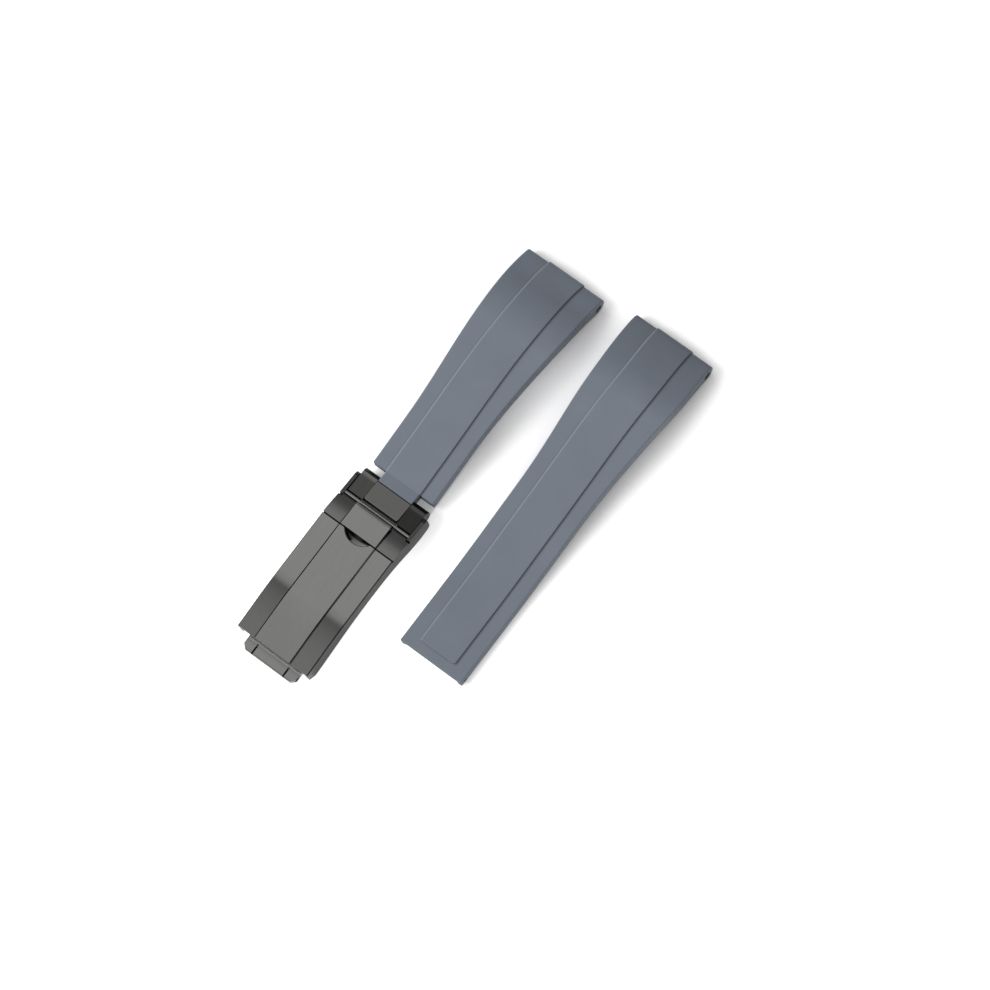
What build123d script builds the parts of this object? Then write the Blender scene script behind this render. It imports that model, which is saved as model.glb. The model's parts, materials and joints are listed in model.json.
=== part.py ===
from build123d import *
import math
import os

# Rubber dive strap: two moulded strap halves and a three-blade folding clasp.
# Modelled with x measured from the cover's left end towards the lug ends, y across the
# strap and z up from the table, then each half is shifted to its own row.

# Strap halves
LUG_WIDTH = 20.0
TAIL_WIDTH = 16.0
TAPER_STRAIGHT = 6.5
TAPER_LENGTH = 38.0
TAIL_THICKNESS = 2.7
NOSE_RADIUS = 2.1
LUG_BORE_RADIUS = 1.0
LUG_CORNER_RADIUS = 0.7
BAND_WIDTH = 9.1
BAND_RISE = 0.3
BAND_CORNER_RADIUS = 0.8
ROW_SPACING = 27.5

# Short half, which hangs on the clasp
SHORT_LENGTH = 57.2
SHORT_GAP = 1.65
SHORT_SHOULDER_TOP = 4.75
SHORT_ARCH_RISE = 4.65
SHORT_NOSE_ANGLE = 35.0
SHORT_TOP_SHARES = [(0.24, 0.43), (0.43, 0.83), (0.62, 1.00), (0.81, 0.70)]
SHORT_THICKNESS_SHARES = [1.14, 1.17, 1.25, 1.42]
SHORT_SHOULDER_SHARE = 1.11
TONGUE_LENGTH = 2.75

# Long half, which lies loose beside it
LONG_LENGTH = 85.7
LONG_START = 18.0
LONG_ARCH_RISE = 4.3
LONG_NOSE_ANGLE = 25.0
LONG_FLAT_SHARE = 0.20
LONG_TOP_SHARES = [(0.37, 0.22), (0.51, 0.50), (0.63, 0.80), (0.76, 1.00), (0.88, 0.72)]
LONG_THICKNESS_SHARES = [1.04, 1.10, 1.17, 1.28, 1.40]
BAND_SETBACK = 2.4
POCKET_DEPTH = 3.2
POCKET_HEIGHT = 1.95

# Clasp cover
COVER_WIDTH = 18.6
COVER_WALL = 0.8
PANEL_THICKNESS = 1.0
RIDGE_RISE = 0.35
PANEL_LENGTH = 29.6
CREASE_X = 8.8
BEND_X = 12.4
LEFT_TOP = 5.9
CREASE_TOP = 7.2
BEND_TOP = 7.45
RIGHT_TOP = 7.8
CREASE_RADIUS = 40.0
BEND_RADIUS = 8.0
SEAM_WIDTH = 0.32
SEAM_DEPTH = 0.35
EDGE_BEVEL = 0.25
RAIL_REACH = 5.3
RAIL_DROP = 0.8
RAIL_END_RADIUS = 1.4
WALL_FOOT = 0.35
WALL_CORNER = 1.6
WALL_ARCH_SHARES = [(0.10, 0.20), (0.26, 0.64), (0.58, 1.00), (0.78, 0.60), (0.90, 0.07)]
WALL_ARCH_RISE = 2.8
NAIL_WIDTH = 6.9
NAIL_DEPTH = 1.8
NAIL_DROP = 1.45
NAIL_SLOPE = 1.7
NAIL_UNDERCUT = 0.9

# Safety flap and its pin
FLAP_GAP = 0.3
FLAP_THICKNESS = 0.9
FLAP_LENGTH = 5.05
FLAP_DROP = 1.15
FLAP_CROWN = 0.2
FLAP_CENTRE_DROP = 0.15
FLAP_RAIL_GAP = 0.4
FLAP_PIN_REACH = 1.15
LIP_GAP = 0.1
LIP_SIDE_GAP = 0.1
FLAP_PIN_Z = 5.9
FLAP_PIN_RADIUS = 0.45
FLAP_KNUCKLE_RADIUS = 0.65
FLAP_KNUCKLE_RISE = 0.2
FLAP_SEAT_GAP = 0.05
SHELF_THICKNESS = 0.95
SHELF_LAP = 0.9
SHELF_RIGHT_GAP = 0.15
CATCH_WIDTH = 3.0
CATCH_SHANK = 0.5
CATCH_TOE = 0.45
CATCH_TOE_HEIGHT = 0.4
CATCH_PIN_GAP = 0.15
CATCH_WINDOW_GAP = 0.2

# Blades and their hinges
BLADE_THICKNESS = 0.8
FOLD_X = 3.4
FOLD_RADIUS = 1.1
FOLD_PIN_RADIUS = 0.5
FOLD_CLEAR = 0.3
CENTRE_KNUCKLE = 7.9
KNUCKLE_GAP = 0.15
LOWER_WIDTH = 16.6
LOWER_START_RISE = 0.2
LOWER_CROWN_SHARE = 0.54
LOWER_CROWN_RISE = 1.75
BASE_LENGTH = 7.1
BASE_TAIL = 0.4
SLOT_GAP = 1.0
MIDDLE_WIDTH = 12.0
MIDDLE_START_RISE = 1.25
MIDDLE_CROWN_SHARE = 0.565
MIDDLE_CROWN_RISE = 3.0
MIDDLE_END_RISE = 2.7
COVER_PIN_REACH = 0.7
COVER_PIN_Z = 3.2
COVER_PIN_RADIUS = 0.5
COVER_KNUCKLE_RADIUS = 1.0
PIN_SEAT = 0.6

# Lugs, spring bar and catch pin
LUG_SLOT = 9.0
LUG_GAP = 0.75
LUG_TOP_LEFT = 6.05
LUG_ROUND = 2.4
LUG_TOP_ANGLE = 52.0
LUG_FOOT_ANGLE = 50.0
CHEEK_HEIGHT = 4.3
BAR_REACH = 4.7
BAR_Z = 3.6
BARREL_RADIUS = 0.9
BARREL_BORE_RADIUS = 0.66
BARREL_END_GAP = 0.15
BARREL_LIP = 0.5
TIP_RADIUS = 0.5
TIP_COLLAR_RADIUS = 0.62
TIP_COLLAR_LENGTH = 0.7
TIP_COLLAR_GAP = 0.2
TIP_REACH = 1.25
TIP_CHAMFER = 0.15
TIP_HOLE_SPARE = 0.2
SPRING_RADIUS = 0.48
SPRING_WIRE = 0.18
SPRING_TURNS = 6
SPRING_STATIONS = 10
CATCH_PIN_SETBACK = 1.3
CATCH_PIN_Z = 3.3
CATCH_PIN_RADIUS = 0.5
CATCH_PIN_SEAT = 1.5

# Tongue link, moulded into the short half
TAB_GAP = 0.2
TAB_LENGTH = 4.9
TAB_WIDTH = 8.8
TAB_FOOT = 1.9
TAB_TOP = 6.3
TAB_END_TOP = 5.6
TAB_TOP_RADIUS = 0.4
TAB_FOOT_RADIUS = 1.0
TAB_END_DROP = 0.2
TAB_CORNER_RADIUS = 0.8
TANG_LENGTH = 8.3
TANG_WIDTH = 7.2
TANG_THICKNESS = 0.9
TANG_START_Z = 3.0
TANG_RISE = 0.9
TANG_WINDOW_LENGTH = 1.9
TANG_WINDOW_WIDTH = 4.4
TANG_WINDOW_SHARES = [0.40, 0.75]

# Slider, its guides and rack
SLIDER_WIDTH = 13.6
SLIDER_LEFT = 0.9
SLIDER_END_GAP = 4.3
SLIDER_FOOT = 4.0
SLIDER_THICKNESS = 0.65
FLANGE_WIDTH = 11.0
FLANGE_THICKNESS = 0.8
SLIDER_SLOT_WIDTH = 2.2
SLIDER_SLOT_Y = 4.0
SLIDER_SLOT_START = 4.5
SLIDER_SLOT_SETBACK = 5.0
TOOTH_BAR_SETBACK = 2.4
TOOTH_BAR_LENGTH = 0.6
TOOTH_BAR_WIDTH = 7.0
TOOTH_BAR_RISE = 0.2
GUIDE_LEFT = 1.2
GUIDE_END_GAP = 2.3
GUIDE_FOOT = 3.3
GUIDE_LIP = 0.55
GUIDE_LIP_LAP = 0.45
GUIDE_TOP = 4.75
GUIDE_GAP = 0.15
RACK_BEND_GAP = 1.8
RACK_END_GAP = 1.1
RACK_WIDTH = 8.0
RACK_TOOTH_DEPTH = 0.8
RACK_TEETH = 10
RACK_TIP = 4.95

# Extension link and its rivets
LINK_WIDTH = 13.8
LINK_REACH = 2.8
LINK_FOOT = 0.15
LINK_THICKNESS = 1.7
LINK_CORNER = 1.0
LINK_EDGE_RADIUS = 0.4
LINK_SLIT_WIDTH = 0.4
LINK_SLIT_DEPTH = 0.9
LINK_SLIT_Y = 4.15
LINK_SLIT_ROOT = 0.1
LINK_BORE_RADIUS = 0.6
LINK_BORE_X = -1.4
POCKET_SIDE_GAP = 0.12
RIVET_Y = 3.5
RIVET_RADIUS = 0.4
RIVET_DEPTH = 1.2
RIVET_HEAD_RADIUS = 0.7
RIVET_HEAD_HEIGHT = 0.3

# Fits
RUNNING_CLEARANCE = 0.03
TIP_CLEARANCE = 0.04
BAR_CLEARANCE = 0.05
OVERRUN = 1.0

# Derived places
INNER_WIDTH = COVER_WIDTH - 2 * COVER_WALL
FLAP_LEFT = PANEL_LENGTH + FLAP_GAP
FLAP_RIGHT = FLAP_LEFT + FLAP_LENGTH
FLAP_PIN_X = FLAP_RIGHT + FLAP_PIN_REACH
LIP_RIGHT = FLAP_PIN_X - FLAP_PIN_RADIUS - LIP_GAP
COVER_PIN_X = PANEL_LENGTH + COVER_PIN_REACH
CATCH_PIN_X = FLAP_PIN_X - CATCH_PIN_SETBACK
RAIL_END = FLAP_PIN_X + RAIL_REACH
LUG_LEFT = FLAP_PIN_X + LUG_GAP
BAR_X = FLAP_PIN_X + BAR_REACH
TAB_LEFT = LUG_LEFT + TAB_GAP
TAB_RIGHT = TAB_LEFT + TAB_LENGTH
SLOT_START = TAB_LEFT - SLOT_GAP
BASE_END = BAR_X + BASE_TAIL
BASE_START = BASE_END - BASE_LENGTH
SLIDER_RIGHT = PANEL_LENGTH - SLIDER_END_GAP
SLIDER_SLOT_END = SLIDER_RIGHT - SLIDER_SLOT_SETBACK
TOOTH_BAR_X = SLIDER_RIGHT - TOOTH_BAR_SETBACK
GUIDE_RIGHT = PANEL_LENGTH - GUIDE_END_GAP
RACK_LEFT = BEND_X + RACK_BEND_GAP
RACK_RIGHT = PANEL_LENGTH - RACK_END_GAP
RIVET_Z = LINK_FOOT + LINK_THICKNESS / 2
RACK_TOOTH_PITCH = (RACK_RIGHT - RACK_LEFT) / RACK_TEETH
RAIL_START = FLAP_RIGHT + FLAP_RAIL_GAP
SHORT_START = BAR_X + LUG_ROUND + SHORT_GAP
SHORT_END = SHORT_START + SHORT_LENGTH
LONG_END = LONG_START + LONG_LENGTH
ROW_LEFT = -LINK_REACH
ROW_RIGHT = LONG_END + BAND_RISE
ROW_MIDDLE = (ROW_LEFT + ROW_RIGHT) / 2
BARREL_HALF = LUG_SLOT / 2 - BARREL_END_GAP


def at(x, z):
    return Vector(x, 0, z)


def side_face(*lines):
    edges = []
    for line in lines:
        edges.extend(line.edges())
    return make_face(edges)


def side_plate(face, width, middle=0):
    """A side-view face given a width, centred on y = middle."""
    return Pos(0, middle, 0) * extrude(face, amount=width / 2, dir=(0, 1, 0), both=True)


def side_polygon(points, width, middle=0):
    corners = [at(x, z) for x, z in points]
    return side_plate(side_face(Polyline(*corners, close=True)), width, middle)


def block(x0, x1, y0, y1, z0, z1):
    box = Box(x1 - x0, y1 - y0, z1 - z0)
    return Pos((x0 + x1) / 2, (y0 + y1) / 2, (z0 + z1) / 2) * box


def cross_rod(x, z, radius, y0, y1):
    return Pos(x, (y0 + y1) / 2, z) * Rot(90, 0, 0) * Cylinder(radius, y1 - y0)


def long_rod(x0, x1, y, z, radius):
    return Pos((x0 + x1) / 2, y, z) * Rot(0, 90, 0) * Cylinder(radius, x1 - x0)


def line_height(x, start, end):
    """Height at x of the straight line through two (x, z) places."""
    share = (x - start[0]) / (end[0] - start[0])
    return start[1] + share * (end[1] - start[1])


def arched_strip(start, crown, end, thickness, width):
    """A bent strip whose underside runs through three (x, z) places."""
    under = ThreePointArc(at(*start), at(*crown), at(*end))
    over = under.moved(Location((0, 0, thickness)))
    left = Line(under @ 0, over @ 0)
    right = Line(under @ 1, over @ 1)
    return side_plate(side_face(under, right, over, left), width)


# Straps

def taper_outline(start, end):
    """Plan of a strap half: parallel tail, an S-shaped flare and square lug end."""
    flare_end = end - TAPER_STRAIGHT
    flare_start = flare_end - TAPER_LENGTH
    flare_middle = (flare_start + flare_end) / 2
    tail_half = TAIL_WIDTH / 2
    lug_half = LUG_WIDTH / 2
    middle_half = (tail_half + lug_half) / 2
    along = (1, 0, 0)
    flare = Spline(
        (flare_start, tail_half),
        (flare_middle, middle_half),
        (flare_end, lug_half),
        tangents=[along, along],
    )
    edge = [Line((start, tail_half), (flare_start, tail_half)), flare]
    edge.append(Line((flare_end, lug_half), (end, lug_half)))
    lines = list(edge)
    for line in edge:
        lines.append(mirror(line, about=Plane.XZ))
    lines.append(Line((start, -tail_half), (start, tail_half)))
    lines.append(Line((end, -lug_half), (end, lug_half)))
    face = side_face(*lines)
    corners = face.vertices().group_by(Axis.X)[-1]
    return fillet(corners, LUG_CORNER_RADIUS)


def nose_points(centre, radius, angle):
    """Where the top and the underside run into the rounded lug end."""
    turn = math.radians(angle)
    out = Vector(math.sin(turn), 0, math.cos(turn)) * radius
    ahead = Vector(math.cos(turn), 0, -math.sin(turn))
    return centre + out, centre - out, ahead


def strap_section(top_lines, under_lines, centre, angle):
    """Side face of a strap half, between its top, its rounded nose and its underside."""
    high, low, ahead = nose_points(centre, NOSE_RADIUS, angle)
    nose = ThreePointArc(high, centre + ahead * NOSE_RADIUS, low)
    tail = Line(under_lines[0] @ 0, top_lines[0] @ 0)
    return side_face(*top_lines, nose, *under_lines, tail)


def strap_solid(section, start, end):
    height = 2 * (SHORT_SHOULDER_TOP + SHORT_ARCH_RISE)
    outline = extrude(taper_outline(start, end), amount=height)
    body = side_plate(section, LUG_WIDTH)
    return body & outline


def band_solid(top_lines, core_lines, centre, angle, start, corner):
    """The raised centre band, which follows the top and wraps over the nose."""
    radius = NOSE_RADIUS + BAND_RISE
    high, low, ahead = nose_points(centre, radius, angle)
    front = Vector(radius, 0, 0) + centre
    turn = math.radians(90 - angle) / 2
    middle = centre + Vector(math.cos(turn), 0, math.sin(turn)) * radius
    nose = ThreePointArc(high, middle, front)
    back = Line(front, centre)
    tail = Line(core_lines[0] @ 0, top_lines[0] @ 0)
    body = side_plate(side_face(*top_lines, nose, back, *core_lines, tail), BAND_WIDTH)
    if corner == 0:
        return body
    end = front.X + OVERRUN
    outline = Pos((start + end) / 2, 0) * Rectangle(end - start, BAND_WIDTH)
    corners = outline.vertices().group_by(Axis.X)[0]
    outline = fillet(corners, corner)
    return body & extrude(outline, amount=2 * (TAIL_THICKNESS + LONG_ARCH_RISE))


def lowered(points, thicknesses, share):
    """Points moved straight down by a share of the strap's thickness there."""
    pairs = zip(points, thicknesses)
    return [point - Vector(0, 0, thickness * share) for point, thickness in pairs]


def short_curves(share, rise):
    """Line of the short half, from its top (share 0) to its underside (share 1)."""
    points = [at(SHORT_START, SHORT_SHOULDER_TOP)]
    for along, up in SHORT_TOP_SHARES:
        x = SHORT_START + along * SHORT_LENGTH
        points.append(at(x, SHORT_SHOULDER_TOP + up * SHORT_ARCH_RISE))
    shares = [SHORT_SHOULDER_SHARE] + SHORT_THICKNESS_SHARES
    thicknesses = [TAIL_THICKNESS * value for value in shares]
    moved = lowered(points, thicknesses, share)
    return [point + Vector(0, 0, rise) for point in moved]


def make_strap_short():
    centre = at(SHORT_END - NOSE_RADIUS, NOSE_RADIUS)
    high, low, ahead = nose_points(centre, NOSE_RADIUS, SHORT_NOSE_ANGLE)
    top_points = short_curves(0, 0)
    under_points = short_curves(1, 0)
    climb = (top_points[1] - top_points[0]).normalized()
    ends = [climb, ahead]
    top = Spline(*top_points, high, tangents=ends)
    under = Spline(*under_points, low, tangents=ends)
    section = strap_section([top], [under], centre, SHORT_NOSE_ANGLE)
    body = strap_solid(section, SHORT_START, SHORT_END)

    wide = NOSE_RADIUS + BAND_RISE
    band_high, band_low, ahead = nose_points(centre, wide, SHORT_NOSE_ANGLE)
    band_top = Spline(*short_curves(0, BAND_RISE), band_high, tangents=ends)
    core = Spline(*short_curves(1 / 2, 0), centre, tangents=ends)
    body += band_solid([band_top], [core], centre, SHORT_NOSE_ANGLE, SHORT_START, 0)

    tongue_left = SHORT_START - TONGUE_LENGTH
    shoulder_foot = under_points[0].Z
    inside = SHORT_START + TONGUE_LENGTH
    slope = climb.Z / climb.X * TONGUE_LENGTH
    tongue = [
        (tongue_left, TAB_FOOT + TAB_END_DROP),
        (SHORT_START, shoulder_foot),
        (inside, shoulder_foot + slope),
        (inside, SHORT_SHOULDER_TOP + BAND_RISE),
        (SHORT_START, SHORT_SHOULDER_TOP + BAND_RISE),
        (tongue_left, TAB_END_TOP),
    ]
    body += side_polygon(tongue, TAB_WIDTH)
    body -= make_tang()
    return body - cross_rod(centre.X, centre.Z, LUG_BORE_RADIUS, -LUG_WIDTH, LUG_WIDTH)


def long_curves(share, rise):
    points = []
    thicknesses = []
    for (along, up), thick in zip(LONG_TOP_SHARES, LONG_THICKNESS_SHARES):
        x = LONG_START + along * LONG_LENGTH
        points.append(at(x, TAIL_THICKNESS + up * LONG_ARCH_RISE))
        thicknesses.append(TAIL_THICKNESS * thick)
    moved = lowered(points, thicknesses, share)
    return [point + Vector(0, 0, rise) for point in moved]


def long_lines(share, rise, start, end, ahead):
    """A flat run on the table, then one smooth curve up over the arch to the nose."""
    height = TAIL_THICKNESS * (1 - share) + rise
    flat_end = LONG_START + LONG_FLAT_SHARE * LONG_LENGTH
    flat = Line(at(start, height), at(flat_end, height))
    points = long_curves(share, rise)
    curve = Spline(at(flat_end, height), *points, end, tangents=[(1, 0, 0), ahead])
    return [flat, curve]


def make_strap_long():
    centre = at(LONG_END - NOSE_RADIUS, NOSE_RADIUS)
    high, low, ahead = nose_points(centre, NOSE_RADIUS, LONG_NOSE_ANGLE)
    top = long_lines(0, 0, LONG_START, high, ahead)
    under = long_lines(1, 0, LONG_START, low, ahead)
    section = strap_section(top, under, centre, LONG_NOSE_ANGLE)
    body = strap_solid(section, LONG_START, LONG_END)

    wide = NOSE_RADIUS + BAND_RISE
    band_start = LONG_START + BAND_SETBACK
    band_high, band_low, ahead = nose_points(centre, wide, LONG_NOSE_ANGLE)
    band_top = long_lines(0, BAND_RISE, band_start, band_high, ahead)
    core = long_lines(1 / 2, 0, band_start, centre, ahead)
    body += band_solid(
        band_top, core, centre, LONG_NOSE_ANGLE, band_start, BAND_CORNER_RADIUS
    )

    pocket_half = LINK_WIDTH / 2 + POCKET_SIDE_GAP
    pocket_left = LONG_START - OVERRUN
    pocket_right = LONG_START + POCKET_DEPTH
    body -= block(
        pocket_left, pocket_right, -pocket_half, pocket_half, -OVERRUN, POCKET_HEIGHT
    )
    body -= cross_rod(centre.X, centre.Z, LUG_BORE_RADIUS, -LUG_WIDTH, LUG_WIDTH)
    tail_bore_z = LINK_THICKNESS / 2 + POCKET_SIDE_GAP
    return body - cross_rod(
        LONG_START - LINK_BORE_X, tail_bore_z, LINK_BORE_RADIUS, -LUG_WIDTH, LUG_WIDTH
    )


# Tongue link

def make_tang():
    """Steel tang with two windows that the rubber flows through."""
    left = TAB_RIGHT
    right = left + TANG_LENGTH
    corners = [
        (left, TANG_START_Z),
        (right, TANG_START_Z + TANG_RISE),
        (right, TANG_START_Z + TANG_RISE + TANG_THICKNESS),
        (left, TANG_START_Z + TANG_THICKNESS),
    ]
    tang = side_polygon(corners, TANG_WIDTH)
    half = TANG_WINDOW_WIDTH / 2
    for share in TANG_WINDOW_SHARES:
        x0 = left + share * TANG_LENGTH - TANG_WINDOW_LENGTH / 2
        tang -= block(x0, x0 + TANG_WINDOW_LENGTH, -half, half, 0, TAB_TOP)
    return tang


def make_tongue_link():
    corners = [
        (TAB_LEFT, TAB_FOOT),
        (TAB_RIGHT, TAB_FOOT + TAB_END_DROP),
        (TAB_RIGHT, TAB_END_TOP),
        (TAB_LEFT, TAB_TOP),
    ]
    tab = side_polygon(corners, TAB_WIDTH)
    left_edges = tab.edges().filter_by(Axis.Y).group_by(Axis.X)[0].sort_by(Axis.Z)
    tab = fillet(left_edges[0], TAB_FOOT_RADIUS)
    left_edges = tab.edges().filter_by(Axis.Y).group_by(Axis.X)[0].sort_by(Axis.Z)
    tab = fillet(left_edges[-1], TAB_TOP_RADIUS)
    plan = Rectangle(TAB_RIGHT - TAB_LEFT, TAB_WIDTH)
    plan = fillet(plan.vertices().group_by(Axis.X)[0], TAB_CORNER_RADIUS)
    tab &= Pos((TAB_LEFT + TAB_RIGHT) / 2, 0, 0) * extrude(plan, amount=2 * TAB_TOP)
    tab += make_tang()
    bore = BARREL_RADIUS + BAR_CLEARANCE
    return tab - cross_rod(BAR_X, BAR_Z, bore, -TAB_WIDTH, TAB_WIDTH)


# Clasp cover

def panel_line(rise, left=0):
    """Side-view line of the cover's top: a left facet that flattens, a bend, a plateau."""
    slope = (CREASE_TOP - LEFT_TOP) / CREASE_X
    return FilletPolyline(
        at(left, LEFT_TOP + rise + slope * left),
        at(CREASE_X, CREASE_TOP + rise),
        at(BEND_X, BEND_TOP + rise),
        at(PANEL_LENGTH, RIGHT_TOP + rise),
        radius=[CREASE_RADIUS, BEND_RADIUS],
    )


def flap_top(x):
    """Height of the straight line between the ends of the flap's side panels."""
    start = (FLAP_LEFT, RIGHT_TOP)
    end = (FLAP_RIGHT, RIGHT_TOP - FLAP_DROP)
    return line_height(x, start, end)


def flap_seat(x):
    return flap_top(x) - FLAP_THICKNESS - FLAP_SEAT_GAP


def rail_top(x):
    """Height of the rails, which carry on from the flap's side panels."""
    start = (RAIL_START, flap_top(RAIL_START))
    return line_height(x, start, (RAIL_END, start[1] - RAIL_DROP))


def wall_foot_line():
    """The walls' lower edge, arched to clear the wrist."""
    start = at(WALL_CORNER, WALL_FOOT)
    end = at(RAIL_END - RAIL_END_RADIUS, WALL_FOOT)
    points = [start]
    for along, up in WALL_ARCH_SHARES:
        x = start.X + along * (end.X - start.X)
        points.append(at(x, WALL_FOOT + up * WALL_ARCH_RISE))
    return Spline(*points, end)


def rail_round(start, end, centre_z, angle):
    """Quarter round at a rail's end."""
    turn = math.radians(angle)
    x = RAIL_END - RAIL_END_RADIUS + RAIL_END_RADIUS * math.cos(turn)
    return ThreePointArc(start, at(x, centre_z + RAIL_END_RADIUS * math.sin(turn)), end)


def cover_outline():
    top = panel_line(0)
    foot = wall_foot_line()
    end_top = rail_top(RAIL_END - RAIL_END_RADIUS)
    end_low = at(RAIL_END, WALL_FOOT + RAIL_END_RADIUS)
    end_high = at(RAIL_END, end_top - RAIL_END_RADIUS)
    shelf = Polyline(
        top @ 1,
        at(PANEL_LENGTH, flap_seat(PANEL_LENGTH)),
        at(RAIL_START, flap_seat(RAIL_START)),
        at(RAIL_START, flap_top(RAIL_START)),
        at(RAIL_END - RAIL_END_RADIUS, end_top),
    )
    high_round = rail_round(shelf @ 1, end_high, end_top - RAIL_END_RADIUS, 45)
    end = Line(end_high, end_low)
    low_round = rail_round(end_low, foot @ 1, WALL_FOOT + RAIL_END_RADIUS, -45)
    corner = Polyline(foot @ 0, at(0, WALL_FOOT + WALL_CORNER), top @ 0)
    return side_face(top, shelf, high_round, end, low_round, foot, corner)


def cover_cavity():
    """Everything between the walls and below the top panel, open to the right."""
    under = panel_line(-PANEL_THICKNESS, -OVERRUN)
    rest = Polyline(
        under @ 1,
        at(PANEL_LENGTH, RIGHT_TOP + OVERRUN),
        at(RAIL_END + OVERRUN, RIGHT_TOP + OVERRUN),
        at(RAIL_END + OVERRUN, -OVERRUN),
        at(-OVERRUN, -OVERRUN),
        under @ 0,
    )
    return side_plate(side_face(under, rest), INNER_WIDTH)


def seam_grooves(line, left, right):
    """Thin grooves at the two feet of the raised centre, from x = left to right."""
    lifted = line.moved(Location((0, 0, -SEAM_DEPTH)))
    roof = RIGHT_TOP + OVERRUN
    rest = Polyline(lifted @ 1, at(right, roof), at(left, roof), lifted @ 0)
    face = side_face(lifted, rest)
    place = (BAND_WIDTH + SEAM_WIDTH) / 2
    return side_plate(face, SEAM_WIDTH, place) + side_plate(face, SEAM_WIDTH, -place)


def nail_recess():
    """Crescent scoop where a finger nail gets under the flap."""
    half = NAIL_WIDTH / 2
    radius = (half * half + NAIL_DEPTH * NAIL_DEPTH) / (2 * NAIL_DEPTH)
    centre = PANEL_LENGTH - NAIL_DEPTH + radius
    floor = RIGHT_TOP - NAIL_DROP
    height = RIGHT_TOP + RIDGE_RISE + OVERRUN - floor
    spread = NAIL_SLOPE * height / (RIGHT_TOP + RIDGE_RISE - floor)
    low = radius - NAIL_SLOPE
    cone = Cone(low, low + spread, height, align=(Align.CENTER, Align.CENTER, Align.MIN))
    right = PANEL_LENGTH + NAIL_UNDERCUT
    return (Pos(centre, 0, floor) * cone) & block(0, right, -half, half, 0, floor + height)


def catch_places():
    """Left side, toe and foot height of the flap's catch when it is shut."""
    toe = CATCH_PIN_X - CATCH_PIN_RADIUS - CATCH_PIN_GAP
    return toe - CATCH_TOE - CATCH_SHANK, toe, CATCH_PIN_Z + CATCH_PIN_RADIUS / 2


def cover_shelf():
    """Inner shelf that the flap closes on, with a window that the catch swings through."""
    left = PANEL_LENGTH - SHELF_LAP
    right = RAIL_START - FLAP_RAIL_GAP - SHELF_RIGHT_GAP
    corners = [
        (left, flap_seat(left) - SHELF_THICKNESS),
        (right, flap_seat(right) - SHELF_THICKNESS),
        (right, flap_seat(right)),
        (PANEL_LENGTH, flap_seat(PANEL_LENGTH)),
        (PANEL_LENGTH, RIGHT_TOP - PANEL_THICKNESS / 2),
        (left, RIGHT_TOP - PANEL_THICKNESS / 2),
    ]
    shelf = side_polygon(corners, INNER_WIDTH)
    catch_left, toe, foot = catch_places()
    swing = math.hypot(FLAP_PIN_X - catch_left, FLAP_PIN_Z - foot)
    window_left = FLAP_PIN_X - swing - CATCH_WINDOW_GAP
    window_right = toe + CATCH_WINDOW_GAP
    half = CATCH_WIDTH / 2 + GUIDE_GAP
    return shelf - block(window_left, window_right, -half, half, 0, RIGHT_TOP)


def make_cover_shell():
    shell = side_plate(cover_outline(), COVER_WIDTH) - cover_cavity()
    outer = COVER_WIDTH / 2
    bevelled = []
    for edge in shell.edges():
        middle = edge.center()
        on_side = abs(abs(middle.Y) - outer) < SEAM_DEPTH / 2
        on_panel = middle.X < PANEL_LENGTH and middle.Z > LEFT_TOP
        level = abs((edge % 0.5).X) > abs((edge % 0.5).Z)
        if on_side and on_panel and level:
            bevelled.append(edge)
    shell = chamfer(bevelled, EDGE_BEVEL)
    ridge_top = panel_line(RIDGE_RISE)
    ridge_foot = panel_line(-PANEL_THICKNESS / 2)
    left = Line(ridge_foot @ 0, ridge_top @ 0)
    right = Line(ridge_foot @ 1, ridge_top @ 1)
    shell += side_plate(side_face(ridge_top, right, ridge_foot, left), BAND_WIDTH)
    shell += cover_shelf()
    shell -= seam_grooves(panel_line(0), 0, PANEL_LENGTH)
    shell -= nail_recess()
    pin_half = INNER_WIDTH / 2 + PIN_SEAT
    shell -= cross_rod(COVER_PIN_X, COVER_PIN_Z, COVER_PIN_RADIUS, -pin_half, pin_half)
    return shell - cross_rod(FLAP_PIN_X, FLAP_PIN_Z, FLAP_PIN_RADIUS, -pin_half, pin_half)


def make_cover_pin():
    half = INNER_WIDTH / 2 + PIN_SEAT
    return cross_rod(COVER_PIN_X, COVER_PIN_Z, COVER_PIN_RADIUS, -half, half)


def make_flap_pin():
    half = INNER_WIDTH / 2 + PIN_SEAT
    return cross_rod(FLAP_PIN_X, FLAP_PIN_Z, FLAP_PIN_RADIUS, -half, half)


# Safety flap

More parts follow.
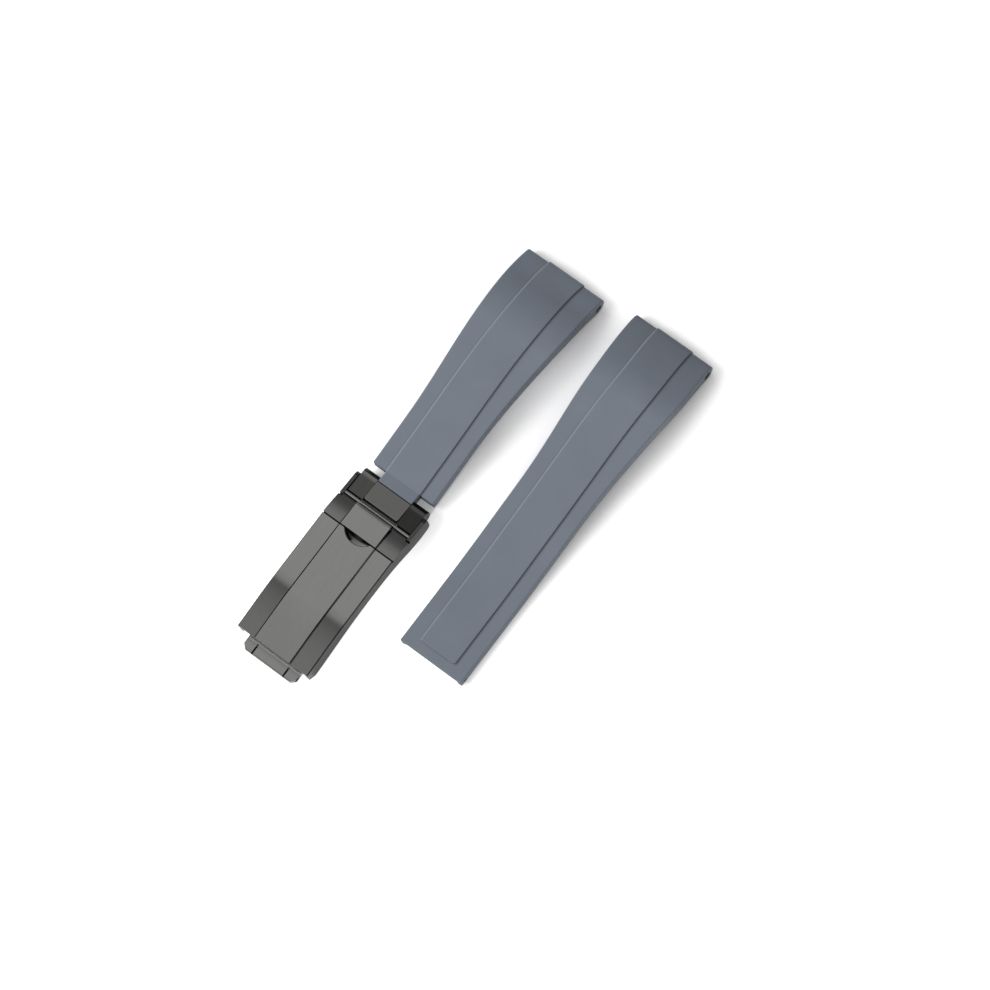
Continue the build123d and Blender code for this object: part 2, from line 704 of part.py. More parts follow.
def make_safety_flap():
    """Flap whose knuckle is a clip under the pin, so that the pin shows across its width."""
    start = at(FLAP_LEFT, flap_top(FLAP_LEFT))
    end = at(FLAP_RIGHT, flap_top(FLAP_RIGHT))
    crown = (start + end) / 2 + Vector(0, 0, FLAP_CROWN)
    line = ThreePointArc(start, crown, end)
    drop = Vector(0, 0, FLAP_THICKNESS)
    rest = Polyline(end, end - drop, start - drop, start)
    lip = [
        (FLAP_RIGHT, flap_top(FLAP_RIGHT)),
        (LIP_RIGHT, flap_top(LIP_RIGHT)),
        (LIP_RIGHT, flap_top(LIP_RIGHT) - FLAP_THICKNESS),
        (FLAP_RIGHT, flap_top(FLAP_RIGHT) - FLAP_THICKNESS),
    ]
    centre = [
        (FLAP_LEFT, flap_top(FLAP_LEFT) + RIDGE_RISE),
        (LIP_RIGHT, RIGHT_TOP + RIDGE_RISE - FLAP_CENTRE_DROP),
        (LIP_RIGHT, FLAP_PIN_Z),
        (FLAP_PIN_X, FLAP_PIN_Z),
        (FLAP_PIN_X, FLAP_PIN_Z - FLAP_KNUCKLE_RADIUS),
        (FLAP_RIGHT, flap_top(FLAP_RIGHT) - FLAP_THICKNESS),
        (FLAP_LEFT, flap_top(FLAP_LEFT) - FLAP_THICKNESS),
    ]
    half = BAND_WIDTH / 2
    flap = side_plate(side_face(line, rest), COVER_WIDTH)
    flap -= seam_grooves(line, FLAP_LEFT, FLAP_RIGHT)
    flap += side_polygon(lip, INNER_WIDTH - 2 * LIP_SIDE_GAP)
    flap += side_polygon(centre, BAND_WIDTH)
    roof = FLAP_PIN_Z + FLAP_KNUCKLE_RISE
    knuckle = cross_rod(FLAP_PIN_X, FLAP_PIN_Z, FLAP_KNUCKLE_RADIUS, -half, half)
    flap += knuckle & block(LIP_RIGHT, RAIL_END, -half, half, 0, roof)
    bore = FLAP_PIN_RADIUS + RUNNING_CLEARANCE
    return flap - cross_rod(FLAP_PIN_X, FLAP_PIN_Z, bore, -BAND_WIDTH, BAND_WIDTH)


def make_flap_catch():
    """Hook under the flap that reaches down beside the catch pin."""
    left, toe, foot = catch_places()
    right = toe - CATCH_TOE
    corners = [
        (left, flap_top(left) - FLAP_THICKNESS),
        (left, foot),
        (toe, foot),
        (toe, foot + CATCH_TOE_HEIGHT),
        (right, foot + CATCH_TOE_HEIGHT),
        (right, flap_top(right) - FLAP_THICKNESS),
    ]
    return side_polygon(corners, CATCH_WIDTH)


# Blades

def make_lower_blade():
    half = LOWER_WIDTH / 2
    inner = CENTRE_KNUCKLE / 2 + KNUCKLE_GAP
    start = (FOLD_X, LOWER_START_RISE)
    crown_x = FOLD_X + LOWER_CROWN_SHARE * (BASE_START - FOLD_X)
    crown = (crown_x, LOWER_CROWN_RISE)
    blade = arched_strip(start, crown, (BASE_START, 0), BLADE_THICKNESS, LOWER_WIDTH)
    blade += cross_rod(FOLD_X, FOLD_RADIUS, FOLD_RADIUS, -half, half)
    reach = FOLD_X + FOLD_RADIUS + FOLD_CLEAR
    blade -= block(-OVERRUN, reach, -inner, inner, -OVERRUN, 2 * FOLD_RADIUS + OVERRUN)
    blade += block(BASE_START - BLADE_THICKNESS, BASE_END, -half, half, 0, BLADE_THICKNESS)
    slot = LUG_SLOT / 2
    blade -= block(SLOT_START, BASE_END + OVERRUN, -slot, slot, -OVERRUN, OVERRUN)
    return blade - cross_rod(FOLD_X, FOLD_RADIUS, FOLD_PIN_RADIUS, -half, half)


def make_fold_pin():
    half = LOWER_WIDTH / 2
    return cross_rod(FOLD_X, FOLD_RADIUS, FOLD_PIN_RADIUS, -half, half)


def make_middle_blade():
    half = MIDDLE_WIDTH / 2
    inner = CENTRE_KNUCKLE / 2
    start = (FOLD_X, MIDDLE_START_RISE)
    crown_x = FOLD_X + MIDDLE_CROWN_SHARE * (COVER_PIN_X - FOLD_X)
    crown = (crown_x, MIDDLE_CROWN_RISE)
    end = (COVER_PIN_X, MIDDLE_END_RISE)
    blade = arched_strip(start, crown, end, BLADE_THICKNESS, MIDDLE_WIDTH)
    reach = FOLD_X + FOLD_RADIUS + FOLD_CLEAR
    blade -= block(0, reach, inner, half + OVERRUN, 0, MIDDLE_CROWN_RISE)
    blade -= block(0, reach, -half - OVERRUN, -inner, 0, MIDDLE_CROWN_RISE)
    blade += cross_rod(FOLD_X, FOLD_RADIUS, FOLD_RADIUS, -inner, inner)
    blade += cross_rod(COVER_PIN_X, COVER_PIN_Z, COVER_KNUCKLE_RADIUS, -half, half)
    fold_bore = FOLD_PIN_RADIUS + RUNNING_CLEARANCE
    blade -= cross_rod(FOLD_X, FOLD_RADIUS, fold_bore, -half, half)
    cover_bore = COVER_PIN_RADIUS + RUNNING_CLEARANCE
    return blade - cross_rod(COVER_PIN_X, COVER_PIN_Z, cover_bore, -half, half)


# Lugs and spring bar

def lug_point(angle):
    turn = math.radians(angle)
    return at(BAR_X + LUG_ROUND * math.cos(turn), BAR_Z + LUG_ROUND * math.sin(turn))


def make_lug(side):
    """Lug block with a cheek that runs left under the flap; side is +1 or -1."""
    high = lug_point(LUG_TOP_ANGLE)
    low = lug_point(-LUG_FOOT_ANGLE)
    nose = ThreePointArc(low, at(BAR_X + LUG_ROUND, BAR_Z), high)
    rest = Polyline(
        high,
        at(LUG_LEFT, LUG_TOP_LEFT),
        at(LUG_LEFT, CHEEK_HEIGHT),
        at(BASE_START, CHEEK_HEIGHT),
        at(BASE_START, BLADE_THICKNESS),
        at(BASE_END, BLADE_THICKNESS),
        low,
    )
    inner = LUG_SLOT / 2
    width = (LOWER_WIDTH - LUG_SLOT) / 2
    lug = side_plate(side_face(nose, rest), width, side * (inner + width / 2))
    depth = inner + TIP_REACH + TIP_HOLE_SPARE
    tip_hole = cross_rod(BAR_X, BAR_Z, TIP_RADIUS + TIP_CLEARANCE, -depth, depth)
    seat = inner + CATCH_PIN_SEAT
    pin_hole = cross_rod(CATCH_PIN_X, CATCH_PIN_Z, CATCH_PIN_RADIUS, -seat, seat)
    return lug - tip_hole - pin_hole


def make_catch_pin():
    half = LUG_SLOT / 2 + CATCH_PIN_SEAT
    return cross_rod(CATCH_PIN_X, CATCH_PIN_Z, CATCH_PIN_RADIUS, -half, half)


def make_barrel():
    tube = cross_rod(BAR_X, BAR_Z, BARREL_RADIUS, -BARREL_HALF, BARREL_HALF)
    inner = BARREL_HALF - BARREL_LIP
    tube -= cross_rod(BAR_X, BAR_Z, BARREL_BORE_RADIUS, -inner, inner)
    lip_bore = TIP_RADIUS + TIP_CLEARANCE
    return tube - cross_rod(BAR_X, BAR_Z, lip_bore, -BARREL_HALF, BARREL_HALF)


def collar_start():
    return BARREL_HALF - BARREL_LIP - TIP_COLLAR_GAP - TIP_COLLAR_LENGTH


def make_tip(side):
    """Spring-bar tip with the collar that keeps it in the barrel."""
    collar_end = collar_start() + TIP_COLLAR_LENGTH
    point = LUG_SLOT / 2 + TIP_REACH
    collar = cross_rod(BAR_X, BAR_Z, TIP_COLLAR_RADIUS, collar_start(), collar_end)
    stem = cross_rod(BAR_X, BAR_Z, TIP_RADIUS, collar_start(), point)
    stem = chamfer(stem.edges().group_by(Axis.Y)[-1], TIP_CHAMFER)
    tip = collar + stem
    if side < 0:
        tip = mirror(tip, about=Plane.XZ)
    return tip


def make_spring():
    """Coil spring of square wire between the two tips, inside the barrel."""
    length = 2 * (collar_start() - SPRING_WIRE / 2 - RUNNING_CLEARANCE)
    coil = Helix(length / SPRING_TURNS, length, SPRING_RADIUS)
    count = SPRING_TURNS * SPRING_STATIONS
    sections = []
    for station in range(count + 1):
        place = coil @ (station / count)
        outward = Vector(place.X, place.Y, 0).normalized()
        plane = Plane(origin=place, x_dir=outward, z_dir=coil % (station / count))
        sections.append(plane * Rectangle(SPRING_WIRE, SPRING_WIRE))
    wire = loft(sections, ruled=True)
    return Pos(BAR_X, length / 2, BAR_Z) * Rot(90, 0, 0) * wire


# Slider

def make_slider_plate():
    half = SLIDER_WIDTH / 2
    top = SLIDER_FOOT + SLIDER_THICKNESS
    plate = block(SLIDER_LEFT, SLIDER_RIGHT, -half, half, SLIDER_FOOT, top)
    slot_length = SLIDER_SLOT_END - SLIDER_SLOT_START
    slot_middle = (SLIDER_SLOT_END + SLIDER_SLOT_START) / 2
    slot = extrude(SlotOverall(slot_length, SLIDER_SLOT_WIDTH), amount=2 * top)
    for side in (-1, 1):
        plate -= Pos(slot_middle, side * SLIDER_SLOT_Y, 0) * slot
    bar_half = TOOTH_BAR_WIDTH / 2
    bar_right = TOOTH_BAR_X + TOOTH_BAR_LENGTH
    bar_top = top + TOOTH_BAR_RISE
    plate += block(TOOTH_BAR_X, bar_right, -bar_half, bar_half, SLIDER_FOOT, bar_top)
    flange_half = FLANGE_WIDTH / 2
    flange_right = SLIDER_LEFT + FLANGE_THICKNESS
    plate += block(SLIDER_LEFT, flange_right, -flange_half, flange_half, LINK_FOOT, top)
    for side in (-1, 1):
        plate -= long_rod(SLIDER_LEFT, flange_right, side * RIVET_Y, RIVET_Z, RIVET_RADIUS)
    return plate


def make_extension_link():
    """T-shaped link: a centre tab between two ears, cross-drilled for a strap screw."""
    top = LINK_FOOT + LINK_THICKNESS
    plan = Rectangle(LINK_REACH + SLIDER_LEFT, LINK_WIDTH)
    plan = chamfer(plan.vertices().group_by(Axis.X)[0], LINK_CORNER)
    middle = (SLIDER_LEFT - LINK_REACH) / 2
    link = Pos(middle, 0, LINK_FOOT) * extrude(plan, amount=LINK_THICKNESS)
    front = link.edges().filter_by(Axis.Y).group_by(Axis.X)[0]
    link = fillet(front, LINK_EDGE_RADIUS)
    slit_half = LINK_SLIT_WIDTH / 2
    for side in (-1, 1):
        y = side * LINK_SLIT_Y
        link -= block(
            -LINK_REACH - OVERRUN, -LINK_SLIT_ROOT, y - slit_half, y + slit_half,
            top - LINK_SLIT_DEPTH, top + OVERRUN,
        )
        rivet_end = SLIDER_LEFT - RIVET_DEPTH
        link -= long_rod(rivet_end, SLIDER_LEFT, side * RIVET_Y, RIVET_Z, RIVET_RADIUS)
    return link - cross_rod(LINK_BORE_X, RIVET_Z, LINK_BORE_RADIUS, -LINK_WIDTH, LINK_WIDTH)


def make_slider_rivets():
    rivets = []
    flange_right = SLIDER_LEFT + FLANGE_THICKNESS
    for side in (-1, 1):
        y = side * RIVET_Y
        shank = long_rod(SLIDER_LEFT - RIVET_DEPTH, flange_right, y, RIVET_Z, RIVET_RADIUS)
        head_end = flange_right + RIVET_HEAD_HEIGHT
        head = long_rod(flange_right, head_end, y, RIVET_Z, RIVET_HEAD_RADIUS)
        rivets.append(shank + head)
    return Compound(children=rivets)


def make_slider_guide(side):
    """L-shaped guide on the cover's wall that carries one edge of the slider."""
    wall = INNER_WIDTH / 2
    web = SLIDER_WIDTH / 2 + GUIDE_GAP
    lip = SLIDER_WIDTH / 2 - GUIDE_LIP_LAP
    guide = block(GUIDE_LEFT, GUIDE_RIGHT, web, wall, GUIDE_FOOT, GUIDE_TOP)
    guide += block(GUIDE_LEFT, GUIDE_RIGHT, lip, web, GUIDE_FOOT, GUIDE_FOOT + GUIDE_LIP)
    if side < 0:
        guide = mirror(guide, about=Plane.XZ)
    return guide


def make_adjustment_rack():
    """Toothed bar under the cover's plateau; each tooth is one step of adjustment."""
    bend = (BEND_X, BEND_TOP - PANEL_THICKNESS)
    end = (PANEL_LENGTH, RIGHT_TOP - PANEL_THICKNESS)
    corners = [
        (RACK_RIGHT, line_height(RACK_RIGHT, bend, end)),
        (RACK_LEFT, line_height(RACK_LEFT, bend, end)),
    ]
    root = RACK_TIP + RACK_TOOTH_DEPTH
    for tooth in range(RACK_TEETH):
        x = RACK_LEFT + tooth * RACK_TOOTH_PITCH
        corners.append((x, root))
        corners.append((x + RACK_TOOTH_PITCH / 2, RACK_TIP))
    corners.append((RACK_RIGHT, root))
    return side_polygon(corners, RACK_WIDTH)


def write(node, shape, row):
    placed = Pos(-ROW_MIDDLE, row * ROW_SPACING / 2, 0) * shape
    export_step(placed, "parts/" + node + ".step")


CLASP_ROW = 1
LOOSE_ROW = -1

write("lower_blade", make_lower_blade(), CLASP_ROW)
write("fold_pin", make_fold_pin(), CLASP_ROW)
write("left_lug", make_lug(1), CLASP_ROW)
write("right_lug", make_lug(-1), CLASP_ROW)
write("catch_pin", make_catch_pin(), CLASP_ROW)
write("spring_bar_barrel", make_barrel(), CLASP_ROW)
write("spring_bar_spring", make_spring(), CLASP_ROW)
write("spring_bar_tip_left", make_tip(1), CLASP_ROW)
write("spring_bar_tip_right", make_tip(-1), CLASP_ROW)
write("middle_blade", make_middle_blade(), CLASP_ROW)
write("cover_shell", make_cover_shell(), CLASP_ROW)
write("cover_pin", make_cover_pin(), CLASP_ROW)
write("flap_pin", make_flap_pin(), CLASP_ROW)
write("adjustment_rack", make_adjustment_rack(), CLASP_ROW)
write("slider_guide_left", make_slider_guide(1), CLASP_ROW)
write("slider_guide_right", make_slider_guide(-1), CLASP_ROW)
write("safety_flap", make_safety_flap(), CLASP_ROW)
write("flap_catch", make_flap_catch(), CLASP_ROW)
write("slider_plate", make_slider_plate(), CLASP_ROW)
write("extension_link", make_extension_link(), CLASP_ROW)
write("slider_rivets", make_slider_rivets(), CLASP_ROW)
write("tongue_link", make_tongue_link(), CLASP_ROW)
write("strap_short", make_strap_short(), CLASP_ROW)
write("strap_long", make_strap_long(), LOOSE_ROW)
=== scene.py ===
import bmesh
import bpy
import json
import math
from mathutils import Euler, Matrix, Vector


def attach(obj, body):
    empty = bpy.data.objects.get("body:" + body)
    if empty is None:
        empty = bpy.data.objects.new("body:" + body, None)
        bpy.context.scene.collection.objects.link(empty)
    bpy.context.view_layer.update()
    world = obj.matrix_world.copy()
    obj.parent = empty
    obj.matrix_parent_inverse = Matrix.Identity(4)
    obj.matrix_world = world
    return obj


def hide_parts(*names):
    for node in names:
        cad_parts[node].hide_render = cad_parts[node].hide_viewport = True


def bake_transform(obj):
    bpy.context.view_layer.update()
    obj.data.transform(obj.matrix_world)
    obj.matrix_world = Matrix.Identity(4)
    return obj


# The looks of the rubber dive strap: two moulded rubber halves that stand for their plain CAD
# solids, a coil spring in two halves, materials for the folding clasp, a pale floor, soft light
# and the camera. Sizes are in millimetres, with x and z as in the part, where the clasp's cover
# starts at x = 0, and y from the middle line of each row. Floor, light and camera are in metres.

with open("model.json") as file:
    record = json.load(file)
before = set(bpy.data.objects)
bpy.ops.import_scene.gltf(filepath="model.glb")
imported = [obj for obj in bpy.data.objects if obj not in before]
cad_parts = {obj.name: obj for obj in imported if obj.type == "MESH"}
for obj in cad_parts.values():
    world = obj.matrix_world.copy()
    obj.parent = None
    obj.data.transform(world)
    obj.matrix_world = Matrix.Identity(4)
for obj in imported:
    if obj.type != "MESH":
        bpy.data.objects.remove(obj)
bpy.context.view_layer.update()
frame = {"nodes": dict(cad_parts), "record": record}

MM = 0.001
ROW_MIDDLE = 50.6
CLASP_ROW_Y = 13.75
LOOSE_ROW_Y = -13.75

# Sizes of the strap halves, as in the part
LUG_WIDTH = 20.0
TAIL_WIDTH = 16.0
TAPER_STRAIGHT = 6.5
TAPER_LENGTH = 38.0
TAIL_THICKNESS = 2.7
NOSE_RADIUS = 2.1
LUG_CORNER = 0.7
BORE_RADIUS = 1.0
BAND_WIDTH = 9.1
BAND_RISE = 0.3
BAND_CORNER = 0.8

# Short half. Its shares give places along the length and up the arch.
SHORT_START = 44.85
SHORT_LENGTH = 57.2
SHORT_TOP = 4.75
SHORT_RISE = 4.65
SHORT_NOSE_ANGLE = 35.0
SHORT_TOP_SHARES = [(0.0, 0.0), (0.24, 0.43), (0.43, 0.83), (0.62, 1.00), (0.81, 0.70)]
SHORT_THICKNESS_SHARES = [1.11, 1.14, 1.17, 1.25, 1.42]

# Rubber neck between the steel tab and the short half's shoulders
TONGUE_LENGTH = 2.75
TAB_WIDTH = 8.8
TAB_END_FOOT = 2.1
TAB_END_TOP = 5.6
NECK_GAP = 0.02
NECK_SIDE_GAP = 0.01
NECK_INSIDE = 2.0
NECK_EDGE = 0.14
NECK_EDGE_STEPS = 3
ROUND_PROFILE = 0.5

# Long half
LONG_START = 18.0
LONG_LENGTH = 85.7
LONG_RISE = 4.3
LONG_NOSE_ANGLE = 25.0
LONG_FLAT_SHARE = 0.20
LONG_TOP_SHARES = [(0.37, 0.22), (0.51, 0.50), (0.63, 0.80), (0.76, 1.00), (0.88, 0.72)]
LONG_THICKNESS_SHARES = [1.04, 1.10, 1.17, 1.28, 1.40]
BAND_SETBACK = 2.4

# Pocket and cross bore for the clasp's link, in the long half's tail
LINK_WIDTH = 13.8
LINK_THICKNESS = 1.7
LINK_GAP = 0.12
POCKET_DEPTH = 3.2
POCKET_HEIGHT = 1.95
TAIL_BORE_INSET = 1.4
TAIL_BORE_RADIUS = 0.6
CUT_PAST = 1.0

# Spring in the spring bar, drawn as two halves that each close up towards the middle
BAR_X = 40.8
BAR_Z = 3.6
SPRING_HALF = 2.83
SPRING_RADIUS = 0.48
SPRING_WIRE = 0.09
SPRING_TURNS = 3
SPRING_STEPS = 24
WIRE_SIDES = 8

# Edge roundings of the moulded rubber
TOP_EDGE = 0.32
FOOT_EDGE = 0.22
END_EDGE = 0.22
BAND_EDGE = 0.16
BAND_FOOT = 0.12
EDGE_SHARE = 0.9
LEAST_ROOM = 0.001

# How finely the rubber is meshed. The band's side is given as distances out from its edge, with
# shares of its rise.
SHORT_STEPS = 84
LONG_STEPS = 124
CORNER_STEPS = 12
FOOT_STEPS = 4
TOP_STEPS = 6
END_STEPS = 4
START_CLEARANCE = 1.2 * END_EDGE
UNDER_SHARES = (0.0, 0.3, 0.6, 0.85)
WALL_SHARES = (0.35, 0.65)
BESIDE_BAND = 0.2
BAND_SIDE = [
    (BAND_FOOT + 0.25, 0.0), (BAND_FOOT, 0.0), (0.3 * BAND_FOOT, 0.1), (0.0, 0.35), (0.0, 0.7),
    (-0.3 * BAND_EDGE, 0.92), (-BAND_EDGE, 1.0), (-BAND_EDGE - 0.3, 1.0),
]
BAND_SHARES = (0.75, 0.5, 0.25, 0.0)
NOSE_TURNS = [6.0 * i for i in range(1, 15)] + [87.0, 89.0]
BAND_END_TURN = 1.5
MERGE_DISTANCE = 0.004
BORE_SIDES = 48
SHARP_RUBBER = 40
SHARP_WIRE = 60
NORMAL_WEIGHT = 80

# Colours. A pair holds the darker and the lighter tone of one finish.
WHITE = (1.0, 1.0, 1.0)
RUBBER = ((0.161, 0.184, 0.221), (0.171, 0.195, 0.234))
RUBBER_SPECK = (0.245, 0.270, 0.305)
# Lighter rims of the rubber: partly wear, partly a painted highlight
RUBBER_WORN_AND_SHEEN = (0.245, 0.272, 0.312)
# Painted light on the rubber's sides and along the band's far edge
RUBBER_PAINTED_LIGHT = (0.275, 0.303, 0.348)
# Painted shade in the rubber's creases and along the band's near edge
RUBBER_SHADE = (0.03, 0.034, 0.042)
DARK_STEEL = ((0.256, 0.254, 0.250), (0.279, 0.277, 0.272))
INNER_STEEL = ((0.31, 0.306, 0.30), (0.37, 0.365, 0.357))
BLACK_STEEL = ((0.058, 0.057, 0.056), (0.072, 0.071, 0.069))
TAB_STEEL = ((0.180, 0.178, 0.175), (0.198, 0.196, 0.192))
BAR_STEEL = ((0.32, 0.317, 0.313), (0.36, 0.357, 0.352))
# Painted shade in the steel's seams
STEEL_SHADE = (0.01, 0.01, 0.01)
# Painted light and shade in the nail recess
NAIL_PAINTED_LIGHT = (0.30, 0.298, 0.294)
NAIL_PAINTED_DIM = (0.10, 0.099, 0.098)
NAIL_PAINTED_SHADE = (0.006, 0.006, 0.006)
CARD = ((0.83, 0.83, 0.84), (0.85, 0.85, 0.85))

# Tone of either side of a middle line: it changes over between these two places across it
MIDDLE = (-1.0, 1.0)

# How finely edges and crevices are looked for, and what a noise is like unless said otherwise
EDGE_SAMPLES = 6
CREVICE_SAMPLES = 8
NOISE_DETAIL = 2.0
NOISE_ROUGHNESS = 0.5

# Sockets of the Mix node when it mixes colours
MIX_INPUTS = (0, 6, 7)
MIX_RESULT = 2

# Rubber surface. Scales are noise cells per metre, and pairs are where a mask starts and is full.
CLOUD_SCALE = 160.0
CLOUD_DETAIL = 4.0
CLOUD_MARKS = (0.35, 0.68)
CLOUD_STRENGTH = 0.12
CLOUD_HEIGHT = 0.4
SPECK_SCALE = 5200.0
SPECK_MARKS = (0.62, 0.78)
SPECK_SHARE = 0.12
GRAIN_SCALE = 3600.0
GRAIN_DETAIL = 3.0
GRAIN_ROUGHNESS = 0.6
GRAIN_STRENGTH = 0.22
GRAIN_HEIGHT = 0.06
RUBBER_WORN_AND_SHEEN_WIDTH = 0.22
RUBBER_WORN_AND_SHEEN_MARKS = (0.99, 0.86)
RUBBER_WORN_AND_SHEEN_SHARE = 0.55
RUBBER_SHADE_MARKS = (0.45, 0.95)
RUBBER_SHADE_SHARE = 0.7
RUBBER_ROUGH_MARKS = (0.3, 0.7)
RUBBER_ROUGHNESS = (0.56, 0.64)
RUBBER_SPECULAR = 0.38
CREVICE_REACH = 0.6

# Steel surface, in the same way
HAIRLINE_SCALE = 5200.0
HAIRLINE_STRETCH = (0.02, 1.0, 1.0)
HAIRLINE_MARKS = (0.30, 0.70)
HAIRLINE_STRENGTH = 0.05
HAIRLINE_HEIGHT = 0.02
SMEAR_SCALE = 120.0
SMEAR_STRETCH = (1.0, 1.6, 1.0)
SMEAR_MARKS = (0.40, 0.75)
SMEAR_SHARE = 0.10
SMEAR_TONE = 0.8
STEEL_WORN_WIDTH = 0.10
STEEL_WORN_MARKS = (0.985, 0.82)
STEEL_WORN_TONE = 1.7
STEEL_SHADE_MARKS = (0.35, 0.85)
STEEL_EDGE = 0.12
STEEL_ROUGH_MARKS = (0.25, 0.75)
STEEL_ROUGH_SPREAD = 0.03

# Surface of each steel: how rough it is, and how far its edges are worn
DARK_SURFACE = (0.24, 0.35)
INNER_SURFACE = (0.28, 0.3)
BLACK_SURFACE = (0.30, 0.3)
TAB_SURFACE = (0.26, 0.35)
BAR_SURFACE = (0.30, 0.3)

# Painted light and shade on the rubber. A mark is a place along x with the tone there.
SIDE_FACING = (0.6, 0.9)
SIDE_SHARE = 0.7
LONG_TONE = [
    (70.0, 1.0), (75.0, 1.0), (80.0, 1.05), (86.5, 1.12), (89.5, 1.0), (93.5, 0.82), (97.5, 0.78),
    (104.0, 0.82),
]
SHORT_TONE = [
    (70.0, 1.0), (76.0, 1.0), (83.0, 1.09), (87.0, 1.04), (90.0, 0.93), (95.0, 0.83), (99.0, 1.0),
    (104.0, 1.0),
]
NEAR_LINE = (-0.60, -0.10, -0.01, 0.05)
NEAR_LINE_SHARE = 0.52
FAR_LINE = (-0.40, -0.15, 0.01, 0.10)
FAR_LINE_SHARE = 0.6
BAND_LINE_START = 0.3

# Painted shade and light on the cover: side panels, long seams, outer walls and rails
PANEL_EDGE = (4.55, 4.60)
PANEL_TONE = [
    (0.0, 1.0), (0.05, 0.72), (3.0, 0.72), (6.0, 0.66), (9.0, 0.54), (11.6, 0.40), (12.2, 0.42),
    (13.4, 0.86), (15.0, 1.0), (29.7, 1.0), (29.8, 0.80), (32.2, 0.93), (33.0, 0.80), (34.6, 0.66),
    (36.0, 0.66),
]
SEAM_BAND = (4.2, 4.3, 4.95, 5.05)
FAR_SEAM = [
    (0.0, 0.45), (11.5, 0.65), (12.6, 1.5), (22.5, 1.5), (25.0, 1.0), (29.5, 0.7), (29.6, 1.0),
    (30.2, 0.6), (36.0, 1.0),
]
NEAR_SEAM = [
    (0.0, 0.6), (8.0, 0.6), (9.6, 0.9), (11.0, 0.6), (14.0, 0.75), (20.0, 0.7), (23.0, 0.55),
    (25.0, 0.35), (29.5, 0.35), (29.6, 1.0), (30.2, 0.6), (36.0, 1.0),
]
WALL_PLACE = (8.0, 8.1)
WALL_FACING = (0.55, 0.70)
WALL_TONE = 0.30
RAIL_X = (35.0, 35.1)
RAIL_Z = (2.6, 4.0)
RAIL_FOOT_TONE = 1.8
RAIL_TOP_TONE = 0.52

# Nail recess: where it lies, and where the painted light on its slope turns to painted shade
NAIL_X = (27.6, 27.7)
NAIL_Z = (6.2, 6.3, 7.95, 8.03)
NAIL_Y = (-3.6, -3.5, 3.5, 3.6)
NAIL_DIM_Y = (0.2, 1.2)
NAIL_SPOT_Y = (0.4, 0.9)
NAIL_SPOT_Z = (7.2, 7.5)
NAIL_FLOOR_Z = (6.46, 6.42)
NAIL_FLAP_X = (29.0, 29.5)

# Painted light on the link beside the cover, and painted light and shade on the lug blocks
LINK_OPEN_X = (-1.3, -0.9)
LINK_LIGHT_X = (-0.52, -0.10)
LINK_LIGHT_TONE = 2.9
NEAR_LUG_TONE = 0.68
FAR_LUG_TONE = 1.5
LUG_LIGHT_X = (41.1, 41.6)
LUG_LIGHT_TONE = 2.0
LUG_END_X = (42.1, 42.25)
LUG_END_TONE = 0.15

# Floor card. Its glow is stronger beside the clasp, painted light that washes out the clasp's shadow
# there, and gives way where the strap touches it and under the clasp, as a painted contact shadow.
FLOOR_SIZE = 6.0
FLOOR_DROP = 0.00002
GLOW_X = (-0.02, 0.012)
GLOW_CLASP = 0.85
GLOW_STRAP = 0.43
GLOW_CONTACT = 0.3
REFLECTED_SHARE = 0.2
CONTACT_REACH = 0.008
CONTACT_MARKS = (0.5, 0.95)
CARD_ROUGHNESS = 0.9
CARD_SPECULAR = 0.1
CARD_SCALE = 6.0
BESIDE_LOOSE_X = (-0.0335, -0.0310)
BESIDE_LOOSE_Y = (-0.012, -0.018)
UNDER_CLASP_X = (-0.0495, -0.0485)
UNDER_CLASP_Y = (0.0085, 0.0075)

# Light. A mark is a part of the sky's direction, from -1 to 1, with the strength there.
KEY_POWER = 6.6
KEY_PLACE = (-0.50, 0.46, 0.78)
KEY_SIZE = 0.5
SKY_ALONG = [
    (-1.0, 0.60), (-0.45, 0.68), (-0.2, 0.88), (-0.06, 0.90), (0.05, 1.0), (0.16, 1.0), (0.34, 0.80),
    (0.6, 0.32), (0.85, 0.28), (1.0, 0.40),
]
SKY_ACROSS = [(-1.0, 0.60), (-0.3, 0.66), (0.15, 1.0), (0.3, 1.0), (0.65, 1.35), (1.0, 1.45)]
SKY_STRENGTH = 0.85

# Camera, as fitted to the photograph
CAMERA_TURN = (14.1288, 5.0757, -52.8268)
CAMERA_DISTANCE = 0.9
CAMERA_TARGET = (0.0038676, -0.0031583, 0.003)
CAMERA_SENSOR = 36.0
CAMERA_FOCAL_PIXELS = 4281.049
CAMERA_CLIP = (0.01, 20.0)
PHOTO_WIDTH = 990.0


# Curves

